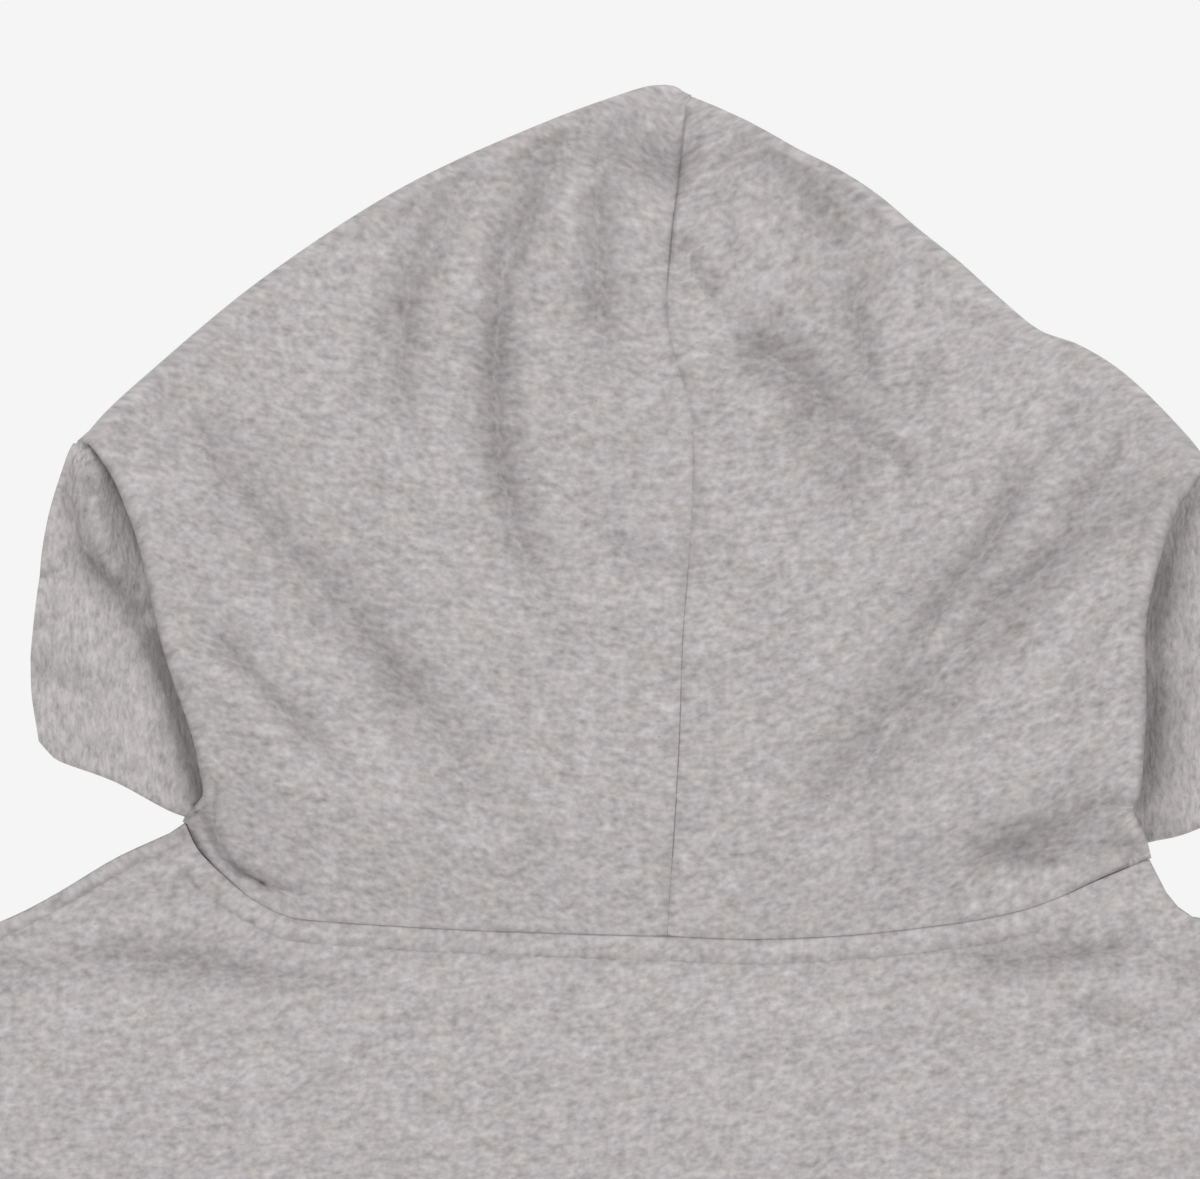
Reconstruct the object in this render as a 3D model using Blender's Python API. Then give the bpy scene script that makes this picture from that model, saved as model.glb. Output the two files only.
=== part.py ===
"""A zip-up hoodie of heather fleece, laid flat on its front with its back and its hood up.

Run it with: blender --background --python part.py

The garment is modelled as it lies: +Z is up, +Y runs from the hem to the hood and the wearer's left
is at -X. Each cut piece of cloth is a sheet of quads through the middle of its wall, which is then
given its thickness. The tables below are in millimetres from the nape, the middle of the back neck
seam. The finished part is moved along Y so that the middle of its box is at the origin.
"""

import math

import bpy
import numpy as np

MM = 0.001

# ---- cloth and seams -------------------------------------------------------------------------
CLOTH = 2.0 * MM  # wall of the fleece, and of the rib
SEAM_GAP = 0.3 * MM  # left between two pieces that are sewn together

# ---- heights of the middle of each layer above the surface that the garment lies on ------------
FLOOR_LAYER = CLOTH / 2  # fronts, undersides of the sleeves, the turned-under crown of the hood
EDGE_LAYER = FLOOR_LAYER + CLOTH + SEAM_GAP  # the back where it is sewn to the front
BACK_LAYER = 5.6 * MM  # the back away from its edges
CUFF_LAYER = 5.0 * MM  # top of the cuffs and the sleeve ends
CHEEK_LAYER = 4.0 * MM  # hood sides folded under, above the turned-under crown
CROWN_LAYER = 6.8 * MM  # top of the hood over its middle
SIDE_LAYER = 8.8 * MM  # top of the hood where the sides lie folded beneath it
GABLE_LAYER = 5.7 * MM  # top of the hood just before it turns under
EDGE_ROLL = 10 * MM  # how far in from an edge the back takes to rise
GABLE_ROLL = 22 * MM  # and the hood from the fold along its top
LAYER_CLEARANCE = 0.4 * MM  # least air between two layers of one piece
NECK_RISE = 20 * MM  # how far from the neck seam the hood takes to reach its height
SIDE_RISE = 12 * MM  # and from the fold down its side
COVER_RISE = 24 * MM  # and over the edge of the side folded beneath it
COVER_START = 0.75  # share of that rise which is outside the edge
CHEEK_RISE = 12 * MM  # how far the folded side takes to climb onto the crown
CHEEK_START = 1.35  # share of that rise which is before the crown's edge
CHEEK_SEAM_RISE = 8 * MM  # and from its neck seam
SIDE_FOLD_RADIUS = 2.0 * MM
SMALL_FOLD_RADIUS = (EDGE_LAYER - FLOOR_LAYER) / 2  # at the neck point and the corner of the hood

# ---- body ------------------------------------------------------------------------------------
BODY_LENGTH = 700 * MM  # neck point of the shoulder to the bottom of the hem band
NECK_POINT_Y = 28 * MM
BAND_DEPTH = 65 * MM
HEM_Y = NECK_POINT_Y - BODY_LENGTH
BAND_SEAM_Y = HEM_Y + BAND_DEPTH
BAND_HALF_TOP, BAND_HALF_BOTTOM = 282 * MM, 274 * MM
ZIP_EDGE = 5.5 * MM  # each front ends this far from the centre front
HOOD_EDGE = 3.0 * MM  # and each side of the hood this far

# ---- hood ------------------------------------------------------------------------------------
HOOD_TOP_Y = 213 * MM

# Outlines, (x, y) in millimetres from the nape. Each runs in the order that its name says.
NECK_BACK = {  # nape to the neck point of the shoulder
    "left": [(-0.2, 0), (-44, 1.5), (-91, 4), (-104, 8.2), (-115, 17), (-122.5, 28)],
    "right": [(-0.2, 0), (31, 0), (71, 3.8), (96, 9.8), (108, 14.6), (118.5, 19)],
}
NECK_FRONT = {  # neck point to the centre front, with the ends of NECK_BACK
    "left": [(-122.5, 28), (-105, -4), (-76, -32), (-40, -53), (-3, -60)],
    "right": [(118.5, 19), (104, -8), (76, -34), (40, -53), (3, -60)],
}
SHOULDER = {  # neck point to the armhole
    "left": [(-122.5, 28), (-128, 24.5), (-140, 19), (-155, 10), (-169, 3), (-210, -14), (-262, -36)],
    "right": [(118.5, 19), (123, 10), (131, 4), (150, 2), (169, -2), (210, -14), (262, -36)],
}
ARMHOLE = [(262, -36), (251, -98), (250, -168), (261, -232), (290, -282)]  # down to the underarm
SIDE_SEAM = [(290, -282), (292, -400), (290, -520), (284, -607)]  # underarm to the hem band

HOOD_SEAM = [  # centre seam, nape to the top of the hood
    (-0.2, 0), (-0.6, 22), (1.8, 74), (4.4, 120), (1.2, 141), (-1.8, 158), (0, 184), (1, 213),
]
GABLE = {  # fold along the top of the hood, from the centre seam to the corner
    "left": [(1, 213), (-9, 212), (-39, 201), (-69, 187), (-99, 167.5), (-129, 143), (-149, 125)],
    "right": [(1, 213), (11, 207.5), (41, 192), (61, 177), (91, 151), (102, 148), (121, 133), (135, 118)],
}
SIDE_FOLD = {  # fold down each side of the hood, neck point to the corner
    "left": [(-122.5, 28), (-118, 36), (-121, 51), (-129, 74), (-133.5, 94), (-141, 113.5), (-149, 125)],
    "right": [(118.5, 19), (115, 31), (117.5, 49), (118, 79), (122.5, 98), (131, 113), (135, 118)],
}
WING_SIDE = {  # edge of the turned-under crown that shows beyond the side fold, corner downwards
    "left": [(-149, 125), (-156, 105), (-159.5, 84), (-160.5, 64), (-158.5, 49)],
    "right": [(135, 118), (147, 104), (154, 84), (156, 64), (153, 45)],
}
CROWN_HEM = {  # edge of the face opening on the turned-under crown, from the wing to the middle
    "left": [(-158.5, 49), (-152, 44), (-139, 39), (-127, 35.5), (-110, 46), (-60, 33), (0, 16)],
    "right": [(153, 45), (144, 36), (131, 28), (121.5, 25.5), (107, 38), (60, 30), (0, 16)],
}

CHEEK_EDGE = {  # edge of the face opening on the side folded under, centre front upwards
    "left": [(-3, -60), (-28, -24), (-56, 14), (-84, 50), (-108, 84), (-124, 106), (-135, 120)],
    "right": [(3, -60), (28, -24), (54, 12), (78, 46), (98, 76), (111, 98), (120, 113)],
}

# Soft troughs in the top of the hood. The route is in millimetres from the nape.
HOOD_FOLDS = [  # depth mm, half-width mm, route
    (2.4, 6, [(-29, 199), (-42, 172), (-45, 139), (-41, 104), (-19, 66)]),
    (1.4, 7, [(-60, 185), (-67, 162), (-69, 134)]),
    (2.2, 9, [(-118, 126), (-89, 92), (-58, 52), (-34, 22)]),
    (2.4, 7, [(5, 171), (20, 148), (39, 124), (44, 106)]),
    (1.4, 7, [(26, 193), (39, 179), (54, 129)]),
    (2.4, 8, [(118, 112), (81, 87), (51, 59), (24, 19)]),
    (1.2, 6, [(74, 14), (86, 23), (112, 26)]),
]
BACK_FOLDS = [  # depth as a share of the back's rise from its edges, half-width mm, route
    (0.70, 9, [(-186, -10), (-144, -5), (-94, -10), (-69, -15)]),
    (0.65, 8, [(76, -8), (109, -3), (131, -9), (160, -16)]),
    (0.65, 16, [(-236, -150), (-190, -260), (-160, -400)]),
    (0.65, 16, [(232, -130), (196, -250), (150, -360)]),
    (0.54, 18, [(-90, -330), (-70, -440), (-84, -560)]),
]

# ---- sleeves and cuffs, drawn for the right side and mirrored ----------------------------------
SLEEVE_TOP = [(262, -36), (380, -98), (530, -221), (692, -366)]  # along the shoulder side
SLEEVE_UNDER = [(290, -282), (352, -294), (480, -362), (626, -446)]  # along the underarm
SLEEVE_FOLDS = [  # depth mm, half-width mm, route
    (1.3, 12, [(300, -262), (345, -190), (352, -130)]),
    (1.2, 12, [(420, -318), (448, -250), (440, -180)]),
    (1.0, 14, [(560, -390), (590, -350), (610, -310)]),
]
CUFF_LENGTH = 70 * MM
CUFF_NARROWING = 0.86  # width of the cuff's end against the sleeve's end

# ---- zip -------------------------------------------------------------------------------------
TEETH_HALF, TEETH_THICK = 3.0 * MM, 2.6 * MM
TAPE_OUTER, TAPE_THICK = 16.5 * MM, 0.8 * MM
TAPE_LAYER = FLOOR_LAYER + CLOTH / 2 + SEAM_GAP + TAPE_THICK / 2
ZIP_TOP_Y = -61.5 * MM
ZIP_BOTTOM_Y = HEM_Y + 4 * MM
SLIDER_LENGTH, SLIDER_HALF, SLIDER_PLATE = 11 * MM, 4.7 * MM, 0.9 * MM
SLIDER_Y = ZIP_TOP_Y - SLIDER_LENGTH / 2
WEDGE_LENGTH, WEDGE_HALF = 3 * MM, 1.3 * MM
LIP_WIDTH, LIP_HEIGHT = 0.8 * MM, 0.8 * MM
BOX_LENGTH, BOX_HEIGHT = 8 * MM, 3.4 * MM  # retainer at the bottom of the zip
# The pull is on the outer face, which is underneath, so that the cloth round it is lifted.
SLIDER_LIFT = 3.4 * MM
BACK_EXTRA_LIFT = 2.1 * MM  # the back clears the inner plate of the slider
LIFT_REACH_X, LIFT_REACH_Y = 45 * MM, 55 * MM
LOOP_HALF_X, LOOP_HALF_Y, LOOP_BAR, LOOP_POST = 0.9 * MM, 3.1 * MM, 0.8 * MM, 1.0 * MM
LOOP_BOTTOM = 0.1 * MM
AXIS_Z = 1.9 * MM  # height of the axis that the pull turns on
TAB_LENGTH, TAB_HALF, TAB_THICK = 24 * MM, 3.0 * MM, 1.2 * MM
TAB_BAR, TAB_EYE_HALF = 0.65 * MM, 2.6 * MM  # half-widths of the bar and of the eye round it
TAB_WINDOW, TAB_WINDOW_HALF = 4.2 * MM, 1.35 * MM

# ---- how finely each piece is divided ----------------------------------------------------------
HOOD_ACROSS, HOOD_UP = 12, 17
CROWN_ROWS, CHEEK_COLUMNS = 6, 5
SHOULDER_STEPS, ARMHOLE_STEPS, SIDE_STEPS = 3, 6, 5
SLEEVE_STEPS, CUFF_STEPS, BAND_STEPS, BAND_HALF_COLUMNS = 8, 1, 1, 8
# Rows of the fronts along the zip, finer where the pull lifts them (mm from the nape)
ZIP_ROWS = [-607, -500, -395, -300, -220, -160, -125, -105, -92, -82, -71, -60]
FOLD_ANGLES = [math.radians(a) for a in (45, 90, 135)]  # points round the half circle of a fold
CURVE_STEPS, FOLD_ROUTE_STEPS = 16, 20  # points for each span of an outline, and for a trough's route

PART_SHIFT_Y = -(HEM_Y + HOOD_TOP_Y) / 2


# ---- curves and patches ------------------------------------------------------------------------
def smooth_line(rows):
    """Dense points, in metres, of a smooth curve through rows in millimetres (Catmull-Rom)."""
    points = np.array(rows, float) * MM
    ends = np.vstack([2 * points[0] - points[1], points, 2 * points[-1] - points[-2]])
    t = np.linspace(0, 1, CURVE_STEPS, endpoint=False)[:, None]
    dense = []
    for a, b, c, d in zip(ends, ends[1:], ends[2:], ends[3:]):
        squared = (2 * a - 5 * b + 4 * c - d) * t**2
        cubed = (3 * b - a - 3 * c + d) * t**3
        dense.append((2 * b + (c - a) * t + squared + cubed) / 2)
    return np.vstack(dense + [points[-1:]])


def spaced(line, steps):
    """steps + 1 points evenly along a dense line."""
    along = np.concatenate([[0], np.cumsum(np.linalg.norm(np.diff(line, axis=0), axis=1))])
    wanted = np.linspace(0, along[-1], steps + 1)
    return np.column_stack([np.interp(wanted, along, line[:, k]) for k in (0, 1)])


def sampled(rows, steps):
    return spaced(smooth_line(rows), steps)


def mirrored(points):
    return np.asarray(points) * (-1, 1)


def moved_sideways(points, distance):
    """The points moved to the left of their direction of travel."""
    along = np.gradient(points, axis=0)
    along /= np.linalg.norm(along, axis=1)[:, None]
    return points + distance * np.column_stack([-along[:, 1], along[:, 0]])


def share(points):
    """How far along the row each point is, 0 to 1."""
    along = np.concatenate([[0], np.cumsum(np.linalg.norm(np.diff(points, axis=0), axis=1))])
    return along / along[-1]


def patch(bottom, top, left, right):
    """A Coons patch through four rows of points, as grid[row][column]."""
    u = (share(bottom) + share(top))[None, :, None] / 2
    v = (share(left) + share(right))[:, None, None] / 2
    ruled = (1 - v) * bottom[None] + v * top[None] + (1 - u) * left[:, None] + u * right[:, None]
    corners = (1 - v) * ((1 - u) * bottom[0] + u * bottom[-1]) + v * ((1 - u) * top[0] + u * top[-1])
    return ruled - corners


def distance_to(line, points):
    """Distance from each point to a line, both in plan."""
    flat = points.reshape(-1, 2)
    start, step = line[:-1], np.diff(line, axis=0)
    t = ((flat[:, None] - start) * step).sum(2) / (step**2).sum(1)
    near = start + np.clip(t, 0, 1)[..., None] * step
    return np.linalg.norm(flat[:, None] - near, axis=2).min(axis=1).reshape(points.shape[:-1])


def ramp(x):
    """0 to 1 with soft ends."""
    x = np.clip(x, 0, 1)
    return x * x * (3 - 2 * x)


# ---- heights -----------------------------------------------------------------------------------
def folds(table, plan):
    """How deep the troughs of a table lie at each point of the plan, in the table's own unit."""
    depth = np.zeros(plan.shape[:-1])
    for deep, half_width, route in table:
        line = sampled(route, FOLD_ROUTE_STEPS)
        depth += deep * np.exp(-((distance_to(line, plan) / (half_width * MM)) ** 2))
    return depth


def zip_lift(plan):
    """How far the pull lifts the cloth round it."""
    x, y = plan[..., 0], plan[..., 1]
    return SLIDER_LIFT * np.exp(-((x / LIFT_REACH_X) ** 2) - ((y - SLIDER_Y) / LIFT_REACH_Y) ** 2)


def back_height(plan):
    """Middle of the back, low at the shoulders and side seams and raised over the zip."""
    edges = [smooth_line(SHOULDER[s]) for s in ("left", "right")]
    edges += [smooth_line(SIDE_SEAM), mirrored(smooth_line(SIDE_SEAM))]
    edge = np.min([distance_to(line, plan) for line in edges], axis=0)
    rise = (BACK_LAYER - EDGE_LAYER) * (1 - np.exp(-edge / EDGE_ROLL))
    lift = zip_lift(plan) * (1 + BACK_EXTRA_LIFT / SLIDER_LIFT)
    return EDGE_LAYER + rise * (1 - folds(BACK_FOLDS, plan)) + lift


def with_height(plan, height):
    return np.concatenate([plan, np.broadcast_to(height, plan.shape[:-1])[..., None]], axis=-1)


# ---- sheets of cloth ---------------------------------------------------------------------------
class Sheet:
    """The middle surface of one piece of cloth, in quads that face the outer side."""

    def __init__(self):
        self.points = []
        self.quads = []
        self.seams = {}  # point: direction in plan across its seam, or None for an upright edge

    def add_row(self, row):
        first = len(self.points)
        self.points.extend(np.asarray(row, float))
        return list(range(first, len(self.points)))

    def join(self, low, high, flip=False):
        """Quads between two rows of points."""
        for a, b, c, d in zip(low, low[1:], high[1:], high):
            self.quads.append((d, c, b, a) if flip else (a, b, c, d))

    def add_grid(self, grid, flip=False):
        rows = [self.add_row(row) for row in grid]
        for low, high in zip(rows, rows[1:]):
            self.join(low, high, flip)
        return rows

    def sew(self, row, across=None):
        """Keeps the wall upright along an edge, or square to a direction (or one for each point)."""
        if across is None:
            across = [None] * len(row)
        elif np.ndim(across) == 1:
            across = [across] * len(row)
        self.seams.update(zip(row, across))

    def normals(self):
        points = np.array(self.points)
        quads = np.array(self.quads)
        a, b, c, d = points[quads].transpose(1, 0, 2)
        cross = np.cross(c - a, d - b)
        found = np.zeros_like(points)
        for corner in range(4):
            np.add.at(found, quads[:, corner], cross)
        for point, across in self.seams.items():
            if across is None:
                found[point, :2] = 0
            else:
                found[point] -= across * found[point].dot(across)
        return found / np.linalg.norm(found, axis=1)[:, None]

    def rim(self):
        """The open edges, each in the direction of its quad."""
        edges = {(a, b) for quad in self.quads for a, b in zip(quad, quad[1:] + quad[:1])}
        return sorted((a, b) for a, b in edges if (b, a) not in edges)


def mesh_object(name, points, faces, material, place=(0, 0, 0), smooth=True):
    """An object at a place of the garment, with points given from there."""
    mesh = bpy.data.meshes.new(name)
    mesh.from_pydata([tuple(point) for point in points], [], faces)
    mesh.materials.append(material)
    if smooth:
        mesh.shade_smooth()
    made = bpy.data.objects.new(name, mesh)
    made.location = (place[0], place[1] + PART_SHIFT_Y, place[2])
    bpy.context.scene.collection.objects.link(made)
    return made


def sew_piece(name, sheet, material, wall=CLOTH):
    """Gives a sheet its wall and makes it an object."""
    points, offset = np.array(sheet.points), sheet.normals() * wall / 2
    count = len(points)
    faces = [tuple(quad) for quad in sheet.quads]
    faces += [tuple(count + p for p in reversed(quad)) for quad in sheet.quads]
    faces += [(b, a, count + a, count + b) for a, b in sheet.rim()]
    return mesh_object(name, np.vstack([points + offset, points - offset]), faces, material)


def turned_edge(upper, lower, outward):
    """Points of a fold's half circle between two rows, the upper one first."""
    middle = (upper + lower) / 2
    radius = (upper[:, 2] - lower[:, 2]) / 2
    rows = []
    for angle in FOLD_ANGLES:
        row = middle.copy()
        row[:, :2] += outward * (radius * math.sin(angle))[:, None]
        row[:, 2] += radius * math.cos(angle)
        rows.append(row)
    return rows


def outward_of(line, inside):
    """Unit directions in plan that point away from the inside, one for each point of a line."""
    along = np.gradient(line, axis=0)
    across = np.column_stack([-along[:, 1], along[:, 0]])
    across /= np.linalg.norm(across, axis=1)[:, None]
    across[((inside - line) * across).sum(1) > 0] *= -1
    return across


# ---- body --------------------------------------------------------------------------------------
def zip_edge(side, distance):
    """The rows of the fronts along the zip, at a distance from the centre front."""
    sign = -1 if side == "left" else 1
    y = np.array(ZIP_ROWS) * MM
    y[-1] -= SEAM_GAP
    return np.column_stack([np.full(len(y), sign * distance), y])


def body_side():
    """Armhole and side seam of the right side, from the band up to the shoulder."""
    armhole = sampled(ARMHOLE, ARMHOLE_STEPS)
    side = sampled(SIDE_SEAM, SIDE_STEPS)
    return np.vstack([side[::-1], armhole[::-1][1:]])


def make_back(material):
    """The back, between the neck seam, the shoulders, the armholes, the side seams and the band."""
    neck = {s: sampled(NECK_BACK[s], HOOD_ACROSS) for s in ("left", "right")}
    shoulder = {s: sampled(SHOULDER[s], SHOULDER_STEPS) for s in ("left", "right")}
    scoop = moved_sideways(np.vstack([neck["left"][::-1], neck["right"][1:]]), -SEAM_GAP)
    top = np.vstack([shoulder["left"][::-1][:-1], scoop, shoulder["right"][1:]])
    right = body_side()
    left = mirrored(right)
    across = share(top)[:, None]
    bottom = (1 - across) * left[0] + across * right[0]
    plan = patch(bottom, top, left, right)
    sheet = Sheet()
    rows = sheet.add_grid(with_height(plan, back_height(plan)))
    for edge in (rows[0], rows[-1], [r[0] for r in rows], [r[-1] for r in rows]):
        sheet.sew(edge)
    return sew_piece("back_panel", sheet, material)


def make_front(side, material):
    """One front, from its side seam to the zip."""
    sign = -1 if side == "left" else 1
    neck = sampled(NECK_FRONT[side], CHEEK_COLUMNS)
    neck = moved_sideways(neck, sign * SEAM_GAP)
    shoulder = sampled(SHOULDER[side], SHOULDER_STEPS)
    outer = body_side() * (sign, 1)
    top = np.vstack([shoulder[::-1], neck[1:]])
    inner = zip_edge(side, ZIP_EDGE)
    top[-1] = inner[-1]
    across = share(top)[:, None]
    bottom = (1 - across) * outer[0] + across * inner[0]
    plan = patch(bottom, top, outer, inner)
    sheet = Sheet()
    rows = sheet.add_grid(with_height(plan, FLOOR_LAYER + zip_lift(plan)), flip=side == "right")
    for edge in (rows[0], rows[-1], [r[0] for r in rows], [r[-1] for r in rows]):
        sheet.sew(edge)
    return sew_piece(f"front_{side}", sheet, material)


# ---- sleeves, cuffs and hem band ---------------------------------------------------------------
def tube_loop(plan, height, table):
    """Middle of a flattened tube where it crosses a row of points from one of its folds to the other."""
    top = height - folds(table, plan) * MM
    top[[0, -1]] = height
    radius = (height - FLOOR_LAYER) / 2
    flat = plan.copy()
    turned = []
    for end, inner in ((0, 1), (-1, -2)):
        outward = plan[end] - plan[inner]
        outward /= np.linalg.norm(outward)
        flat[end] = plan[end] - outward * (radius + CLOTH / 2)
        turned.append(outward[None])
    upper, lower = with_height(flat, top), with_height(flat, FLOOR_LAYER)
    first = np.vstack(turned_edge(upper[:1], lower[:1], turned[0]))
    last = np.vstack(turned_edge(upper[-1:], lower[-1:], turned[1]))
    return upper, last, lower, first


def make_tube(name, rows, heights, table, side, material):
    """A flattened tube through rows of points of the right side, mirrored for the left."""
    sign = -1 if side == "left" else 1
    sheet = Sheet()
    loops = []
    for plan, height in zip(rows, heights):
        upper, last, lower, first = tube_loop(plan, height, table)
        loop = np.vstack([upper, last, lower[::-1], first[::-1]])
        loops.append(sheet.add_row(loop * (sign, 1, 1)))
    for low, high in zip(loops, loops[1:]):
        sheet.join(low + low[:1], high + high[:1], flip=side == "right")
    for loop, row in ((loops[0], rows[0]), (loops[-1], rows[-1])):
        sheet.sew(loop, square_to(row, sign))
    return sew_piece(name, sheet, material)


def square_to(row, sign):
    """Unit directions in plan across a row of points, one for each point of its loop."""
    along = np.gradient(row, axis=0)
    along /= np.linalg.norm(along, axis=1)[:, None]
    across = np.column_stack([-along[:, 1] * sign, along[:, 0], np.zeros(len(row))])
    turns = len(FOLD_ANGLES)
    last, first = np.repeat(across[-1:], turns, axis=0), np.repeat(across[:1], turns, axis=0)
    return np.vstack([across, last, across[::-1], first])


def sleeve_rows():
    """Rows across the right sleeve, from the armhole to the cuff seam."""
    armhole = moved_sideways(sampled(ARMHOLE, ARMHOLE_STEPS), SEAM_GAP)
    top, under = sampled(SLEEVE_TOP, SLEEVE_STEPS), sampled(SLEEVE_UNDER, SLEEVE_STEPS)
    top[0], under[0] = armhole[0], armhole[-1]
    across = share(armhole)[:, None]
    end = (1 - across) * top[-1] + across * under[-1]
    return patch(armhole, end, top, under)


def make_sleeve(side, material):
    rows = sleeve_rows()
    heights = np.linspace(BACK_LAYER, CUFF_LAYER, len(rows))
    return make_tube(f"sleeve_{side}", rows, heights, SLEEVE_FOLDS, side, material)


def cuff_rows():
    """Rows across the right cuff, which narrows a little towards the hand."""
    end = sleeve_rows()[-1]
    across = end[-1] - end[0]
    away = np.array([-across[1], across[0]]) / np.linalg.norm(across)
    middle = (end[0] + end[-1]) / 2
    start = end + away * SEAM_GAP
    tip = middle + away * (SEAM_GAP + CUFF_LENGTH) + (end - middle) * CUFF_NARROWING
    return [start + (tip - start) * k / CUFF_STEPS for k in range(CUFF_STEPS + 1)]


def make_cuff(side, material):
    rows = cuff_rows()
    return make_tube(f"cuff_{side}", rows, [CUFF_LAYER] * len(rows), (), side, material)


def make_band(material):
    """The rib band round the hem, folded at both sides and open at the zip."""
    sheet = Sheet()
    strips = []
    for k in range(BAND_STEPS + 1):
        t = k / BAND_STEPS
        half = BAND_HALF_TOP + (BAND_HALF_BOTTOM - BAND_HALF_TOP) * t
        y = BAND_SEAM_Y - SEAM_GAP + (HEM_Y - BAND_SEAM_Y + SEAM_GAP) * t
        x = np.linspace(-half, half, 2 * BAND_HALF_COLUMNS + 1)
        upper, last, lower, first = tube_loop(np.column_stack([x, np.full(len(x), y)]), BACK_LAYER, ())
        lower[BAND_HALF_COLUMNS - 1 : BAND_HALF_COLUMNS + 2, 0] = (-ZIP_EDGE, 0, ZIP_EDGE)
        right = np.vstack([last, lower[:BAND_HALF_COLUMNS:-1]])
        left = np.vstack([first, lower[:BAND_HALF_COLUMNS]])
        strips.append(sheet.add_row(np.vstack([left[::-1], upper, right])))
    for low, high in zip(strips, strips[1:]):
        sheet.join(low, high, flip=True)
    for strip in (strips[0], strips[-1]):
        sheet.sew(strip, np.array([0, 1.0, 0]))
    return sew_piece("hem_band", sheet, material)


# ---- hood --------------------------------------------------------------------------------------
def cheek_cover(side, plan):
    """1 where the folded-under side of the hood lies beneath, 0 well inside its edge."""
    edge = smooth_line(CHEEK_EDGE[side])
    inside = np.abs(plan[..., 0]) - np.interp(plan[..., 1], edge[:, 1], np.abs(edge[:, 0]))
    return ramp(inside / COVER_RISE + COVER_START)


def gable_rise(side, plan):
    """0 at the fold along the top of the hood, 1 away from it."""
    return ramp(distance_to(smooth_line(GABLE[side]), plan) / GABLE_ROLL)


def cheek_height(side, plan):
    """Middle of the folded-under side: on the front at its neck seam and over the crown above."""
    hem = smooth_line(CROWN_HEM[side])[::-1]
    over = plan[..., 1] - np.interp(np.abs(plan[..., 0]), np.abs(hem[:, 0]), hem[:, 1])
    full = EDGE_LAYER + (CHEEK_LAYER - EDGE_LAYER) * gable_rise(side, plan)
    from_seam = np.linalg.norm(plan - plan[:1], axis=-1)
    rise = ramp(over / CHEEK_RISE + CHEEK_START) * ramp(from_seam / CHEEK_SEAM_RISE)
    return FLOOR_LAYER + (full - FLOOR_LAYER) * rise + zip_lift(plan)


def hood_height(side, plan, neck_height, side_height):
    """Middle of the hood's top layer, level with the back at the neck and with its fold at the side."""
    cover = cheek_cover(side, plan)
    full = CROWN_LAYER + (SIDE_LAYER - CROWN_LAYER) * cover
    full = GABLE_LAYER + (full - GABLE_LAYER) * gable_rise(side, plan)
    from_neck = np.linalg.norm(plan - plan[:1], axis=-1)
    from_side = np.linalg.norm(plan - plan[:, -1:], axis=-1)
    neck_rise, side_rise = ramp(from_neck / NECK_RISE), ramp(from_side / SIDE_RISE)
    height = neck_height + (full - neck_height) * neck_rise
    height = side_height[:, None] + (height - side_height[:, None]) * side_rise
    troughs = folds(HOOD_FOLDS, plan) * MM * neck_rise * side_rise
    lowest = FLOOR_LAYER + CLOTH + LAYER_CLEARANCE + (CHEEK_LAYER - FLOOR_LAYER) * cover
    return np.maximum(height - troughs, np.minimum(lowest, height))


def side_fold_radius(fold):
    """Radius of the side fold: small at the neck point and at the corner, full between them."""
    from_neck = np.linalg.norm(fold - fold[0], axis=1)
    from_corner = np.linalg.norm(fold - fold[-1], axis=1)
    rise = ramp(from_neck / NECK_RISE) * ramp(from_corner / GABLE_ROLL)
    return SMALL_FOLD_RADIUS + (SIDE_FOLD_RADIUS - SMALL_FOLD_RADIUS) * rise


def hood_plan(side, gable_out, fold_out):
    """Plan of the top layer. It stops short of each fold's outline by its radius and half a wall."""
    sign = -1 if side == "left" else 1
    neck, gable = sampled(NECK_BACK[side], HOOD_ACROSS), sampled(GABLE[side], HOOD_ACROSS)
    seam = sampled(HOOD_SEAM, HOOD_UP) + (sign * SEAM_GAP / 2, 0)
    fold = sampled(SIDE_FOLD[side], HOOD_UP)
    gable -= gable_out * ((GABLE_LAYER - FLOOR_LAYER) / 2 + CLOTH / 2)
    fold -= fold_out * (side_fold_radius(fold)[:, None] + CLOTH / 2)
    gable[-1] = fold[-1] = (gable[-1] + fold[-1]) / 2
    gable[0, 0] = seam[-1, 0]
    seam[-1] = gable[0]
    neck[0], neck[-1] = seam[0], fold[0]
    return patch(neck, gable, seam, fold)


def cheek_plan(column, neck, edge):
    """Plan of the folded-under side: straight rows that bow towards the neck seam as they near it."""
    across, up = share(neck)[None, :, None], share(column)[:, None, None]
    rows = (1 - across) * column[:, None] + across * edge[:, None]
    bow = neck - (1 - across[0]) * neck[0] - across[0] * neck[-1]
    return rows + (1 - up) ** 4 * bow


def add_crown(sheet, top_row, side, gable_out):
    """Turns the sheet under along the gable, as far as the edge of the face opening."""
    sign = -1 if side == "left" else 1
    upper = np.array(sheet.points)[top_row]
    lower = upper * (1, 1, 0) + (0, 0, FLOOR_LAYER)
    rows = [top_row]
    rows += [sheet.add_row(row) for row in turned_edge(upper, lower, gable_out)]
    hem = sampled(CROWN_HEM[side], HOOD_ACROSS)[::-1]
    wing = sampled(WING_SIDE[side], CROWN_ROWS)
    wing[0] = lower[-1, :2]
    hem[0, 0] = sign * SEAM_GAP / 2
    middle = np.linspace(lower[0, :2], hem[0], CROWN_ROWS + 1)
    crown = patch(lower[:, :2], hem, middle, wing)
    under = [sheet.add_row(row) for row in with_height(crown, FLOOR_LAYER)]
    rows += under
    for low, high in zip(rows, rows[1:]):
        sheet.join(low, high, flip=side == "left")
    return under


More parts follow.
